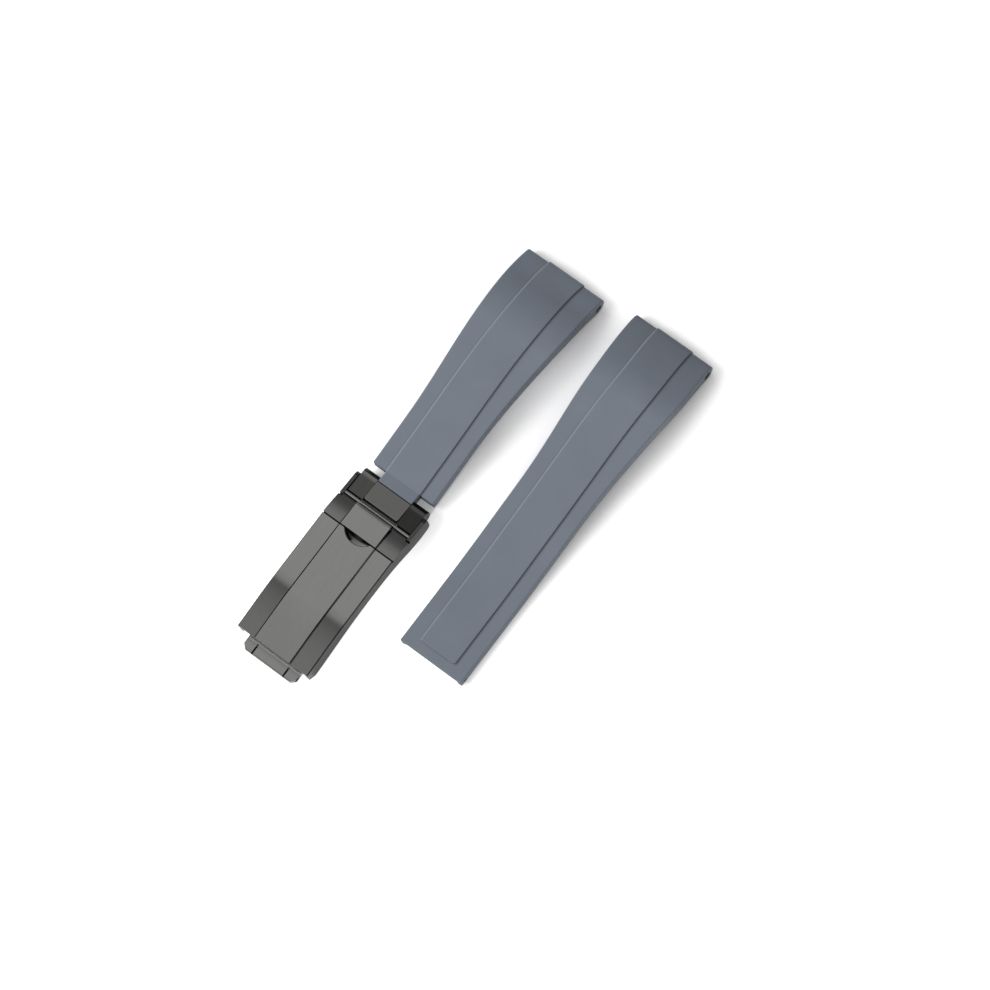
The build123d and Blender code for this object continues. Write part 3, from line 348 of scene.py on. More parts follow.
def clamped_spline(points, start_slope, end_slope):
    """Smooth z(x) through the points, with the slopes given at both ends."""
    count = len(points)
    xs = [p[0] for p in points]
    zs = [p[1] for p in points]
    lower, middle, upper, right = [0.0], [1.0], [0.0], [start_slope]
    for i in range(1, count - 1):
        before = xs[i] - xs[i - 1]
        after = xs[i + 1] - xs[i]
        lower.append(after)
        middle.append(2 * (before + after))
        upper.append(before)
        rise_before = (zs[i] - zs[i - 1]) / before
        rise_after = (zs[i + 1] - zs[i]) / after
        right.append(3 * (after * rise_before + before * rise_after))
    lower.append(0.0)
    middle.append(1.0)
    upper.append(0.0)
    right.append(end_slope)
    for i in range(1, count):
        share = lower[i] / middle[i - 1]
        middle[i] -= share * upper[i - 1]
        right[i] -= share * right[i - 1]
    slopes = [0.0] * count
    slopes[-1] = right[-1] / middle[-1]
    for i in range(count - 2, -1, -1):
        slopes[i] = (right[i] - upper[i] * slopes[i + 1]) / middle[i]

    def value(x):
        i = 0
        while i < count - 2 and x > xs[i + 1]:
            i += 1
        width = xs[i + 1] - xs[i]
        t = (x - xs[i]) / width
        start = (1 + 2 * t) * (1 - t) ** 2 * zs[i]
        leaving = t * (1 - t) ** 2 * width * slopes[i]
        end = t * t * (3 - 2 * t) * zs[i + 1]
        arriving = t * t * (t - 1) * width * slopes[i + 1]
        return start + leaving + end + arriving

    return value


def quarter_turns(steps):
    """Angles from 0 to a right angle."""
    return [math.pi / 2 * step / steps for step in range(steps + 1)]


def half_width(x, end):
    """Half the strap's width at x: tail, S-shaped flare, lug end."""
    flare_start = end - TAPER_STRAIGHT - TAPER_LENGTH
    share = min(1.0, max(0.0, (x - flare_start) / TAPER_LENGTH))
    smooth = share * share * (3 - 2 * share)
    return (TAIL_WIDTH + (LUG_WIDTH - TAIL_WIDTH) * smooth) / 2


def corner_cut(distance, radius):
    """How much a rounded corner of that radius takes off the width, this far from the end."""
    if distance >= radius:
        return 0.0
    short = radius - max(0.0, distance)
    return radius - math.sqrt(radius * radius - short * short)


def line_points(kind, start, length, base, rise, shares, thicknesses):
    """Places that a half's underside, top or band line runs through."""
    points = []
    for (along, up), thickness in zip(shares, thicknesses):
        z = base + up * rise
        if kind == "under":
            z -= TAIL_THICKNESS * thickness
        if kind == "band":
            z += BAND_RISE
        points.append((start + along * length, z))
    return points


def nose_meets(centre, angle):
    """Where the underside, top and band lines meet the rounded nose."""
    turn = math.radians(angle)
    meets = []
    for radius in (-NOSE_RADIUS, NOSE_RADIUS, NOSE_RADIUS + BAND_RISE):
        meets.append((centre.x + math.sin(turn) * radius, centre.z + math.cos(turn) * radius))
    return meets


# Strap meshes

def ring_points(width, thickness, band, inset):
    """Half of a strap's cross-section, from the middle of the underside up and over to the
    middle of the band, as (y, height from the underside, share of the band's rise)."""
    half = width - inset
    low = inset
    high = thickness - inset
    room = EDGE_SHARE * max(LEAST_ROOM, (high - low) / 2)
    foot = min(FOOT_EDGE, room)
    top = min(TOP_EDGE, room)
    points = [(share * (half - foot), low, 0.0) for share in UNDER_SHARES]
    for turn in quarter_turns(FOOT_STEPS):
        y = half - foot + foot * math.sin(turn)
        points.append((y, low + foot - foot * math.cos(turn), 0.0))
    for share in WALL_SHARES:
        points.append((half, low + foot + share * (high - top - low - foot), 0.0))
    for turn in quarter_turns(TOP_STEPS):
        y = half - top + top * math.cos(turn)
        points.append((y, high - top + top * math.sin(turn), 0.0))
    edge = min(band, half - top - BESIDE_BAND)
    points.append(((half - top + edge + BAND_FOOT) / 2, high, 0.0))
    for out, share in BAND_SIDE:
        points.append((edge + out, high, share))
    for share in BAND_SHARES:
        points.append((share * (edge - BAND_EDGE), high, 1.0))
    return points


def station_ring(station):
    """Full cross-section of one station in strap coordinates."""
    low, high, rise, width, band, inset = station
    across = high - low
    up = across.normalized()
    half = []
    for y, height, share in ring_points(width, across.length, band, inset):
        point = low + up * height + rise * share
        half.append(Vector((point.x, y, point.z)))
    other = [Vector((p.x, -p.y, p.z)) for p in half[1:-1]]
    other.reverse()
    return half + other


def skin(mesh, rings):
    """Closes a tube of faces over rings of as many vertices each."""
    count = len(rings[0])
    for a, b in zip(rings, rings[1:]):
        for i in range(count):
            j = (i + 1) % count
            mesh.faces.new((a[i], a[j], b[j], b[i]))
    mesh.faces.new(list(reversed(rings[0])))
    mesh.faces.new(rings[-1])


def loft(stations):
    """A closed mesh through the rings of all stations."""
    mesh = bmesh.new()
    skin(mesh, [[mesh.verts.new(p) for p in station_ring(station)] for station in stations])
    bmesh.ops.remove_doubles(mesh, verts=mesh.verts, dist=MERGE_DISTANCE)
    bmesh.ops.recalc_face_normals(mesh, faces=mesh.faces)
    return mesh


def nose_stations(centre, angle, end):
    """Stations that run round the lug end, whose band stops at the foremost line."""
    turn = math.radians(angle)
    ahead = Vector((math.cos(turn), 0, -math.sin(turn)))
    up = Vector((math.sin(turn), 0, math.cos(turn)))
    front = 90.0 - angle
    stations = []
    for value in sorted(NOSE_TURNS + [front - BAND_END_TURN, front + BAND_END_TURN]):
        a = math.radians(value)
        out = ahead * math.sin(a) + up * math.cos(a)
        back = ahead * math.sin(a) - up * math.cos(a)
        high = centre + out * NOSE_RADIUS
        low = centre + back * NOSE_RADIUS
        rise = out * (BAND_RISE if value < front else 0.0)
        middle = (high.x + low.x) / 2
        width = half_width(middle, end) - corner_cut(end - middle, LUG_CORNER)
        stations.append((low, high, rise, width, BAND_WIDTH / 2, 0.0))
    return stations


def body_stations(lines, start, stops, places, end, band_start=None):
    """Stations along a strap's length. lines holds z(x) of the underside, top and band, and
    stops the x at which each meets the nose. band_start is where a set-back band begins."""
    stations = []
    for share in places:
        points = []
        for line, stop in zip(lines, stops):
            x = start + share * (stop - start)
            points.append(Vector((x, 0, line(x))))
        low, high, over = points
        rise = over - high
        band = BAND_WIDTH / 2
        if band_start is not None:
            into = high.x - band_start
            rise = rise * min(1.0, max(0.0, into / BAND_EDGE))
            band -= corner_cut(into, BAND_CORNER)
        width = half_width((low.x + high.x) / 2, end)
        stations.append((low, high, rise, width, band, 0.0))
    return stations


def rounded_start(stations):
    """The first station drawn in step by step, so that the end face has rounded edges."""
    low, high, rise, width, band, _ = stations[0]
    along = (stations[1][1] - high).normalized()
    rows = []
    for turn in quarter_turns(END_STEPS):
        inset = END_EDGE * (1 - math.sin(turn))
        shift = along * (END_EDGE * (1 - math.cos(turn)))
        rows.append((low + shift, high + shift, rise, width, band, inset))
    return rows + [s for s in stations[1:] if s[1].x > high.x + START_CLEARANCE]


def to_object(name, mesh, row_y):
    """An object in the frame's metres, from a mesh in the part's millimetres."""
    for vertex in mesh.verts:
        place = vertex.co
        vertex.co = Vector(((place.x - ROW_MIDDLE) * MM, place.y * MM + row_y * MM, place.z * MM))
    data = bpy.data.meshes.new(name)
    mesh.to_mesh(data)
    mesh.free()
    for polygon in data.polygons:
        polygon.use_smooth = True
    piece = bpy.data.objects.new(name, data)
    bpy.context.scene.collection.objects.link(piece)
    return piece


def rod_cutter(x, z, radius, row_y):
    """A round bar right across a half, for its cross bore."""
    mesh = bmesh.new()
    bmesh.ops.create_cone(
        mesh,
        cap_ends=True,
        segments=BORE_SIDES,
        radius1=radius,
        radius2=radius,
        depth=2 * LUG_WIDTH,
    )
    bmesh.ops.rotate(mesh, verts=mesh.verts, matrix=Matrix.Rotation(math.pi / 2, 3, "X"))
    bmesh.ops.translate(mesh, verts=mesh.verts, vec=Vector((x, 0, z)))
    return to_object("cutter", mesh, row_y)


def box_cutter(x0, x1, half, z0, z1, row_y):
    mesh = bmesh.new()
    bmesh.ops.create_cube(mesh, size=1.0)
    bmesh.ops.scale(mesh, verts=mesh.verts, vec=Vector((x1 - x0, 2 * half, z1 - z0)))
    bmesh.ops.translate(mesh, verts=mesh.verts, vec=Vector(((x0 + x1) / 2, 0, (z0 + z1) / 2)))
    return to_object("cutter", mesh, row_y)


def cut(piece, cutters):
    """Takes each cutter out of the piece and removes it."""
    for cutter in cutters:
        step = piece.modifiers.new("cut", "BOOLEAN")
        step.operation = "DIFFERENCE"
        step.solver = "EXACT"
        step.object = cutter
        bpy.context.view_layer.update()
        graph = bpy.context.evaluated_depsgraph_get()
        data = bpy.data.meshes.new_from_object(piece.evaluated_get(graph))
        piece.modifiers.clear()
        piece.data = data
        bpy.data.objects.remove(cutter)


def mark_sharp(piece, degrees):
    piece.data.set_sharp_from_angle(angle=math.radians(degrees))


def smooth_rubber(piece):
    """Soft shading over the faces, with the bores' rims kept sharp."""
    mark_sharp(piece, SHARP_RUBBER)
    step = piece.modifiers.new("normals", "WEIGHTED_NORMAL")
    step.weight = NORMAL_WEIGHT
    step.keep_sharp = True


# Short half

def make_short_half():
    end = SHORT_START + SHORT_LENGTH
    centre = Vector((end - NOSE_RADIUS, 0, NOSE_RADIUS))
    meets = nose_meets(centre, SHORT_NOSE_ANGLE)
    points = {
        kind: line_points(
            kind, SHORT_START, SHORT_LENGTH, SHORT_TOP, SHORT_RISE, SHORT_TOP_SHARES,
            SHORT_THICKNESS_SHARES,
        )
        for kind in ("under", "top", "band")
    }
    first, second = points["top"][:2]
    climb = (second[1] - first[1]) / (second[0] - first[0])
    drop = -math.tan(math.radians(SHORT_NOSE_ANGLE))
    lines = []
    for kind, meet in zip(("under", "top", "band"), meets):
        lines.append(clamped_spline(points[kind] + [meet], climb, drop))
    places = [i / SHORT_STEPS for i in range(SHORT_STEPS + 1)]
    stations = body_stations(lines, SHORT_START, [x for x, z in meets], places, end)
    stations = rounded_start(stations) + nose_stations(centre, SHORT_NOSE_ANGLE, end)
    piece = to_object("short_rubber", loft(stations), CLASP_ROW_Y)
    cut(piece, [rod_cutter(centre.x, centre.z, BORE_RADIUS, CLASP_ROW_Y)])
    add_neck(piece, lines[0], climb)
    smooth_rubber(piece)
    return piece


def add_neck(piece, underside, climb):
    """The narrow rubber neck between the steel tab and the strap's shoulders, which stands just
    inside the solid's own neck."""
    left = SHORT_START - TONGUE_LENGTH + NECK_GAP
    inside = SHORT_START + NECK_INSIDE
    foot = underside(SHORT_START) + NECK_GAP
    top = SHORT_TOP + BAND_RISE - NECK_GAP
    profile = [
        (left, TAB_END_FOOT + NECK_GAP),
        (SHORT_START, foot),
        (inside, foot + climb * NECK_INSIDE),
        (inside, top),
        (SHORT_START, top),
        (left, TAB_END_TOP - NECK_GAP),
    ]
    half = TAB_WIDTH / 2 - NECK_SIDE_GAP
    mesh = bmesh.new()
    skin(mesh, [[mesh.verts.new((x, y, z)) for x, z in profile] for y in (-half, half)])
    bmesh.ops.recalc_face_normals(mesh, faces=mesh.faces)
    bmesh.ops.bevel(
        mesh,
        geom=list(mesh.edges),
        offset=NECK_EDGE,
        segments=NECK_EDGE_STEPS,
        affect="EDGES",
        profile=ROUND_PROFILE,
    )
    neck = to_object("neck", mesh, CLASP_ROW_Y)
    both = bmesh.new()
    both.from_mesh(piece.data)
    both.from_mesh(neck.data)
    both.to_mesh(piece.data)
    both.free()
    bpy.data.objects.remove(neck)


# Long half

def long_line(kind, stop):
    """z(x) of one of the long half's lines: flat along the tail, then over the arch."""
    flat_end = LONG_START + LONG_FLAT_SHARE * LONG_LENGTH
    height = {"under": 0.0, "top": TAIL_THICKNESS, "band": TAIL_THICKNESS + BAND_RISE}[kind]
    arch = line_points(
        kind, LONG_START, LONG_LENGTH, TAIL_THICKNESS, LONG_RISE, LONG_TOP_SHARES,
        LONG_THICKNESS_SHARES,
    )
    drop = -math.tan(math.radians(LONG_NOSE_ANGLE))
    curve = clamped_spline([(flat_end, height)] + arch + [stop], 0.0, drop)

    def value(x):
        return height if x < flat_end else curve(x)

    return value


def make_long_half():
    end = LONG_START + LONG_LENGTH
    centre = Vector((end - NOSE_RADIUS, 0, NOSE_RADIUS))
    meets = nose_meets(centre, LONG_NOSE_ANGLE)
    lines = [long_line(kind, meet) for kind, meet in zip(("under", "top", "band"), meets)]
    stops = [x for x, z in meets]
    places = [i / LONG_STEPS for i in range(LONG_STEPS + 1)]
    for step in range(CORNER_STEPS + 1):
        into = BAND_CORNER * (step / CORNER_STEPS) ** 2
        places.append((BAND_SETBACK + into) / (stops[1] - LONG_START))
    places = sorted(set(places))
    band_start = LONG_START + BAND_SETBACK
    stations = body_stations(lines, LONG_START, stops, places, end, band_start)
    stations = rounded_start(stations) + nose_stations(centre, LONG_NOSE_ANGLE, end)
    piece = to_object("long_rubber", loft(stations), LOOSE_ROW_Y)
    bore_x = LONG_START + TAIL_BORE_INSET
    bore_z = LINK_THICKNESS / 2 + LINK_GAP
    pocket = (LONG_START - CUT_PAST, LONG_START + POCKET_DEPTH)
    cut(piece, [
        rod_cutter(centre.x, centre.z, BORE_RADIUS, LOOSE_ROW_Y),
        rod_cutter(bore_x, bore_z, TAIL_BORE_RADIUS, LOOSE_ROW_Y),
        box_cutter(*pocket, LINK_WIDTH / 2 + LINK_GAP, -CUT_PAST, POCKET_HEIGHT, LOOSE_ROW_Y),
    ])
    smooth_rubber(piece)
    return piece


# Spring

def make_spring_half(name, side):
    """Half a coil of round wire, from the middle of the bar out to one tip."""
    mesh = bmesh.new()
    count = SPRING_STEPS * SPRING_TURNS
    rings = []
    for step in range(count + 1):
        turn = 2 * math.pi * step * SPRING_TURNS / count
        outward = Vector((math.cos(turn), 0, math.sin(turn)))
        place = Vector((BAR_X, 0, BAR_Z)) + outward * SPRING_RADIUS
        place.y = side * SPRING_HALF * step / count
        ring = []
        for corner in range(WIRE_SIDES):
            angle = 2 * math.pi * corner / WIRE_SIDES
            shift = outward * math.cos(angle) + Vector((0, math.sin(angle), 0))
            ring.append(mesh.verts.new(place + shift * SPRING_WIRE))
        rings.append(ring)
    skin(mesh, rings)
    bmesh.ops.recalc_face_normals(mesh, faces=mesh.faces)
    piece = to_object(name, mesh, CLASP_ROW_Y)
    mark_sharp(piece, SHARP_WIRE)
    return piece


# Node trees

def frame_x(x):
    """A place along the part in millimetres, as metres in the frame."""
    return (x - ROW_MIDDLE) * MM


def in_metres(marks):
    return [mark * MM for mark in marks]


def in_frame(marks):
    """Places along the part, as metres in the frame."""
    return [frame_x(x) for x in marks]


def tones_in_frame(marks):
    """Places along the part and the tones there, with the places in the frame."""
    return [(frame_x(x), tone) for x, tone in marks]


class Nodes:
    """Builds the node tree of a material or of the world."""

    def __init__(self, owner, shader="Principled BSDF", space="Object"):
        owner.use_nodes = True
        self.owner = owner
        self.tree = owner.node_tree
        self.shader = self.tree.nodes[shader]
        coordinates = self.add("ShaderNodeTexCoord")
        self.place = coordinates.outputs[space]
        self.facing = coordinates.outputs["Normal"]

    def add(self, kind, **settings):
        node = self.tree.nodes.new(kind)
        for key, value in settings.items():
            setattr(node, key, value)
        return node

    def put(self, value, target):
        """Links another node's output, or sets a number, a vector or a colour."""
        if isinstance(value, bpy.types.NodeSocket):
            self.tree.links.new(value, target)
        elif isinstance(value, tuple) and len(target.default_value) > len(value):
            target.default_value = (*value, 1.0)
        else:
            target.default_value = value

    def feed(self, name, value):
        self.put(value, self.shader.inputs[name])

    def calculate(self, operation, *values):
        node = self.add("ShaderNodeMath", operation=operation)
        for value, target in zip(values, node.inputs):
            self.put(value, target)
        return node.outputs[0]

    def times(self, first, second):
        return self.calculate("MULTIPLY", first, second)

    def largest(self, first, *others):
        for other in others:
            first = self.calculate("MAXIMUM", first, other)
        return first

    def ramp(self, source, low, high, start, end):
        node = self.add("ShaderNodeMapRange")
        names = ("Value", "From Min", "From Max", "To Min", "To Max")
        for name, value in zip(names, (source, low, high, start, end)):
            self.put(value, node.inputs[name])
        return node.outputs["Result"]

    def step(self, source, marks):
        """0 up to the first mark, 1 from the second on."""
        return self.ramp(source, marks[0], marks[1], 0.0, 1.0)

    def window(self, source, marks):
        """1 between the second and third mark, 0 outside the first and fourth."""
        return self.times(self.step(source, marks[:2]), self.ramp(source, *marks[2:], 1.0, 0.0))

    def table(self, source, marks, interpolation="LINEAR"):
        """The tone at a place, from marks of (place, tone). The stops hold half of each tone,
        because a stop holds at most 1."""
        first = marks[0][0]
        last = marks[-1][0]
        node = self.add("ShaderNodeValToRGB")
        self.put(self.step(source, (first, last)), node.inputs["Fac"])
        node.color_ramp.interpolation = interpolation
        stops = node.color_ramp.elements
        stops[0].position = 0.0
        stops[1].position = 1.0
        for place, tone in marks[1:-1]:
            stops.new((place - first) / (last - first))
        for stop, (place, tone) in zip(stops, marks):
            stop.color = (tone / 2, tone / 2, tone / 2, 1.0)
        return self.times(node.outputs["Color"], 2.0)

    def mix(self, share, first, second, blend_type="MIX"):
        node = self.add("ShaderNodeMix", data_type="RGBA", blend_type=blend_type)
        for target, value in zip(MIX_INPUTS, (share, first, second)):
            self.put(value, node.inputs[target])
        return node.outputs[MIX_RESULT]

    def toned(self, colour, tone, share=1.0):
        """The colour times a grey tone, where the share is 1."""
        return self.mix(share, colour, tone, "MULTIPLY")

    def noise(self, scale, detail=NOISE_DETAIL, stretch=None, roughness=NOISE_ROUGHNESS):
        node = self.add("ShaderNodeTexNoise")
        self.put(scale, node.inputs["Scale"])
        self.put(detail, node.inputs["Detail"])
        self.put(roughness, node.inputs["Roughness"])
        source = self.place
        if stretch:
            mapping = self.add("ShaderNodeMapping")
            self.put(stretch, mapping.inputs["Scale"])
            self.put(source, mapping.inputs["Vector"])
            source = mapping.outputs["Vector"]
        self.put(source, node.inputs["Vector"])
        return node.outputs["Fac"]

    def bump(self, height, strength, distance, normal=None):
        node = self.add("ShaderNodeBump")
        self.put(strength, node.inputs["Strength"])
        self.put(distance, node.inputs["Distance"])
        self.put(height, node.inputs["Height"])
        if normal is not None:
            self.put(normal, node.inputs["Normal"])
        return node.outputs["Normal"]

    def soft_edge(self, radius):
        """The normal of edges rounded by that radius."""
        bevel = self.add("ShaderNodeBevel", samples=EDGE_SAMPLES)
        self.put(radius, bevel.inputs["Radius"])
        return bevel.outputs["Normal"]

    def edge_mask(self, radius, marks):
        """1 on convex and concave edges, fading out over the radius."""
        geometry = self.add("ShaderNodeNewGeometry")
        dot = self.add("ShaderNodeVectorMath", operation="DOT_PRODUCT")
        self.put(self.soft_edge(radius), dot.inputs[0])
        self.put(geometry.outputs["True Normal"], dot.inputs[1])
        return self.step(dot.outputs["Value"], marks)

    def crevice(self, distance):
        """1 in the open, falling towards 0 deep in seams and slits."""
        node = self.add("ShaderNodeAmbientOcclusion", samples=CREVICE_SAMPLES)
        self.put(distance, node.inputs["Distance"])
        return node.outputs["AO"]

    def part_of(self, vector, axis):
        split = self.add("ShaderNodeSeparateXYZ")
        self.put(vector, split.inputs[0])
        return split.outputs[axis]

    def along(self, axis):
        """The place along one axis of the frame, in metres."""
        return self.part_of(self.place, axis)

    def across(self):
        """The place along y from the clasp's middle line, in metres."""
        return self.calculate("SUBTRACT", self.along(1), CLASP_ROW_Y * MM)

    def off_row(self):
        """The distance from the clasp's middle line, in metres."""
        return self.calculate("ABSOLUTE", self.across())

    def sideways(self):
        """1 on faces that look straight to a side, 0 on those that look up or along."""
        return self.calculate("ABSOLUTE", self.part_of(self.facing, 1))


def new_material(name):
    return Nodes(bpy.data.materials.new(name))


# Rubber

def light_sides(nodes, base):
    """Painted light: the strap's side faces are a little lighter than its top."""
    share = nodes.times(nodes.step(nodes.sideways(), SIDE_FACING), SIDE_SHARE)
    return nodes.mix(share, base, RUBBER_PAINTED_LIGHT)


def end_tones(nodes, base):
    """Painted light and shade: both halves lighten over their arch and darken down towards the lug end.
    """
    loose = nodes.table(nodes.along(0), tones_in_frame(LONG_TONE))
    short = nodes.table(nodes.along(0), tones_in_frame(SHORT_TONE))
    row = nodes.step(nodes.along(1), in_metres(MIDDLE))
    return nodes.toned(base, nodes.mix(row, loose, short))


def band_lines(nodes, base):
    """Painted light and shade: a light line along the band's far edge and a dark one along its near
    edge.
    """
    row = nodes.times(nodes.calculate("SIGN", nodes.along(1)), CLASP_ROW_Y * MM)
    across = nodes.calculate("SUBTRACT", nodes.along(1), row)
    edge = BAND_WIDTH / 2
    start = LONG_START + BAND_SETBACK
    on_band = nodes.step(nodes.along(0), in_frame((start, start + BAND_LINE_START)))
    near = nodes.window(across, in_metres([mark - edge for mark in NEAR_LINE]))
    far = nodes.window(across, in_metres([edge + mark for mark in FAR_LINE]))
    base = nodes.mix(nodes.times(nodes.times(near, NEAR_LINE_SHARE), on_band), base, RUBBER_SHADE)
    return nodes.mix(nodes.times(nodes.times(far, FAR_LINE_SHARE), on_band), base, RUBBER_PAINTED_LIGHT)


def strap_rubber():
    """Matte grey rubber with a fine moulded grain and faint cloudiness, carrying painted light and
    shade.
    """
    nodes = new_material("strap_rubber")
    clouds = nodes.noise(CLOUD_SCALE, CLOUD_DETAIL)
    grain = nodes.noise(GRAIN_SCALE, GRAIN_DETAIL, roughness=GRAIN_ROUGHNESS)
    specks = nodes.step(nodes.noise(SPECK_SCALE), SPECK_MARKS)
    # Lighter rims on all edges: partly wear, partly a painted highlight.
    edge_rims = nodes.edge_mask(RUBBER_WORN_AND_SHEEN_WIDTH * MM, RUBBER_WORN_AND_SHEEN_MARKS)
    # Painted shade in creases, where the surface is closed in.
    crease_shade = nodes.ramp(nodes.crevice(CREVICE_REACH * MM), *RUBBER_SHADE_MARKS, RUBBER_SHADE_SHARE, 0.0)
    base = nodes.mix(nodes.step(clouds, CLOUD_MARKS), *RUBBER)
    base = nodes.mix(nodes.times(specks, SPECK_SHARE), base, RUBBER_SPECK)
    base = nodes.mix(nodes.times(edge_rims, RUBBER_WORN_AND_SHEEN_SHARE), base, RUBBER_WORN_AND_SHEEN)
    base = nodes.mix(crease_shade, base, RUBBER_SHADE)
    # Painted light and shade: lighter sides, tones along the arch and lines along the band.
    base = band_lines(nodes, end_tones(nodes, light_sides(nodes, base)))
    normal = nodes.bump(grain, GRAIN_STRENGTH, GRAIN_HEIGHT * MM)
    normal = nodes.bump(clouds, CLOUD_STRENGTH, CLOUD_HEIGHT * MM, normal)
    nodes.feed("Base Color", base)
    nodes.feed("Roughness", nodes.ramp(clouds, *RUBBER_ROUGH_MARKS, *RUBBER_ROUGHNESS))
    nodes.feed("Specular IOR Level", RUBBER_SPECULAR)
    nodes.feed("Normal", normal)
    return nodes.owner


# Steel

def scaled(colour, tone):
    return tuple(tone * part for part in colour)


def steel(name, tones, surface, fade=None, painted_tones=()):
    """Satin coated steel: fine hairlines along the strap, soft edges, and painted shade in its seams.
    fade gives how dark that painted seam shade is from place to place, and each painted tone changes the
    colour in its turn."""
    base, light = tones
    rough, worn_share = surface
    nodes = new_material(name)
    lines = nodes.noise(HAIRLINE_SCALE, stretch=HAIRLINE_STRETCH)
    smears = nodes.step(nodes.noise(SMEAR_SCALE, stretch=SMEAR_STRETCH), SMEAR_MARKS)
    edge_rims = nodes.edge_mask(STEEL_WORN_WIDTH * MM, STEEL_WORN_MARKS)
    # Painted shade in seams, slits and gaps, where the surface is closed in.
    seam_shade = nodes.ramp(nodes.crevice(CREVICE_REACH * MM), *STEEL_SHADE_MARKS, 1.0, 0.0)
    if fade:
        seam_shade = nodes.times(seam_shade, fade(nodes))
    colour = nodes.mix(nodes.step(lines, HAIRLINE_MARKS), base, light)
    colour = nodes.mix(nodes.times(smears, SMEAR_SHARE), colour, scaled(base, SMEAR_TONE))
    colour = nodes.mix(nodes.times(edge_rims, worn_share), colour, scaled(light, STEEL_WORN_TONE))
    colour = nodes.mix(seam_shade, colour, STEEL_SHADE)
    roughness = (rough - STEEL_ROUGH_SPREAD, rough + STEEL_ROUGH_SPREAD)
    edges = nodes.soft_edge(STEEL_EDGE * MM)
    nodes.feed("Metallic", 1.0)
    nodes.feed("Roughness", nodes.ramp(lines, *STEEL_ROUGH_MARKS, *roughness))
    nodes.feed("Normal", nodes.bump(lines, HAIRLINE_STRENGTH, HAIRLINE_HEIGHT * MM, edges))
    for painted_tone in painted_tones:
        colour = painted_tone(nodes, colour)
    nodes.feed("Base Color", colour)
    return nodes.owner


def seam_fade(nodes):
    """How dark the painted shade in the two long seams of the cover and flap is, along their length."""
    far = nodes.table(nodes.along(0), tones_in_frame(FAR_SEAM))
    near = nodes.table(nodes.along(0), tones_in_frame(NEAR_SEAM))
    side = nodes.step(nodes.across(), in_metres(MIDDLE))
    beside = nodes.window(nodes.off_row(), in_metres(SEAM_BAND))
    return nodes.mix(beside, WHITE, nodes.mix(side, near, far))


def shaded_panels(nodes, colour):
    """Painted shade: the side panels are toned down towards the bend and along the flap."""
    side = nodes.step(nodes.off_row(), in_metres(PANEL_EDGE))
    return nodes.toned(colour, nodes.table(nodes.along(0), tones_in_frame(PANEL_TONE)), side)


def shaded_walls(nodes, colour):
    """Painted shade: the cover's outer walls are toned down as the side panels are."""
    outside = nodes.step(nodes.off_row(), in_metres(WALL_PLACE))
    share = nodes.times(nodes.step(nodes.sideways(), WALL_FACING), outside)
    return nodes.toned(colour, scaled(WHITE, WALL_TONE), share)


def shaded_rails(nodes, colour):
    """Painted shade and light: the cover's rails beside the lugs are dark on top and lighter towards
    their foot.
    """
    tone = nodes.ramp(nodes.along(2), *in_metres(RAIL_Z), RAIL_FOOT_TONE, RAIL_TOP_TONE)
    share = nodes.step(nodes.along(0), in_frame(RAIL_X))
    return nodes.toned(colour, tone, share)


def nail_recess(nodes, colour):
    """The nail recess is matt, with painted light on its slope and painted shade on its floor, in a spot
    high on its far side and beside the flap.
    """
    x = nodes.along(0)
    across = nodes.across()
    height = nodes.along(2)
    inside = nodes.window(height, in_metres(NAIL_Z))
    inside = nodes.times(inside, nodes.step(x, in_frame(NAIL_X)))
    inside = nodes.times(inside, nodes.window(across, in_metres(NAIL_Y)))
    spot_side = nodes.step(across, in_metres(NAIL_SPOT_Y))
    painted_shade_places = (
        nodes.times(spot_side, nodes.step(height, in_metres(NAIL_SPOT_Z))),
        nodes.step(height, in_metres(NAIL_FLOOR_Z)),
        nodes.step(x, in_frame(NAIL_FLAP_X)),
    )
    painted_slope = nodes.mix(nodes.step(across, in_metres(NAIL_DIM_Y)), NAIL_PAINTED_LIGHT, NAIL_PAINTED_DIM)
    for dark in painted_shade_places:
        painted_slope = nodes.mix(dark, painted_slope, NAIL_PAINTED_SHADE)
    nodes.feed("Metallic", nodes.calculate("SUBTRACT", 1.0, inside))
    return nodes.mix(inside, colour, painted_slope)


def dark_steel():
    """The cover and the flap."""
    # Painted shade and light on panels, walls and rails, and in the matt nail recess.
    painted_tones = [shaded_panels, shaded_walls, shaded_rails, nail_recess]
    return steel("dark_steel", DARK_STEEL, DARK_SURFACE, seam_fade, painted_tones)


def inner_steel():
    """Blades, pins, spring bar and the adjustment."""
    return steel("inner_steel", INNER_STEEL, INNER_SURFACE)


def lug_tones(nodes, colour):
    """Painted light and shade: the far lug block is lighter than the near one, and both have a painted
    highlight before a painted dark end.
    """
    side = nodes.ramp(nodes.across(), *in_metres(MIDDLE), NEAR_LUG_TONE, FAR_LUG_TONE)
    light = nodes.ramp(nodes.along(0), *in_frame(LUG_LIGHT_X), 1.0, LUG_LIGHT_TONE)
    dark = nodes.ramp(nodes.along(0), *in_frame(LUG_END_X), 1.0, LUG_END_TONE)
    return nodes.toned(colour, nodes.times(nodes.times(side, light), dark))


def black_steel():
    """The lug blocks."""
    return steel("black_steel", BLACK_STEEL, BLACK_SURFACE, painted_tones=[lug_tones])


def open_end(nodes):
    """No painted seam shade where the link comes out from under the cover."""
    return nodes.ramp(nodes.along(0), *in_frame(LINK_OPEN_X), 1.0, 0.0)


def lifted_end(nodes, colour):
    """Painted light: the link is lighter right beside the cover, so that it runs on from it."""
    lift = nodes.step(nodes.along(0), in_frame(LINK_LIGHT_X))
    return nodes.mix(lift, colour, scaled(DARK_STEEL[1], LINK_LIGHT_TONE))


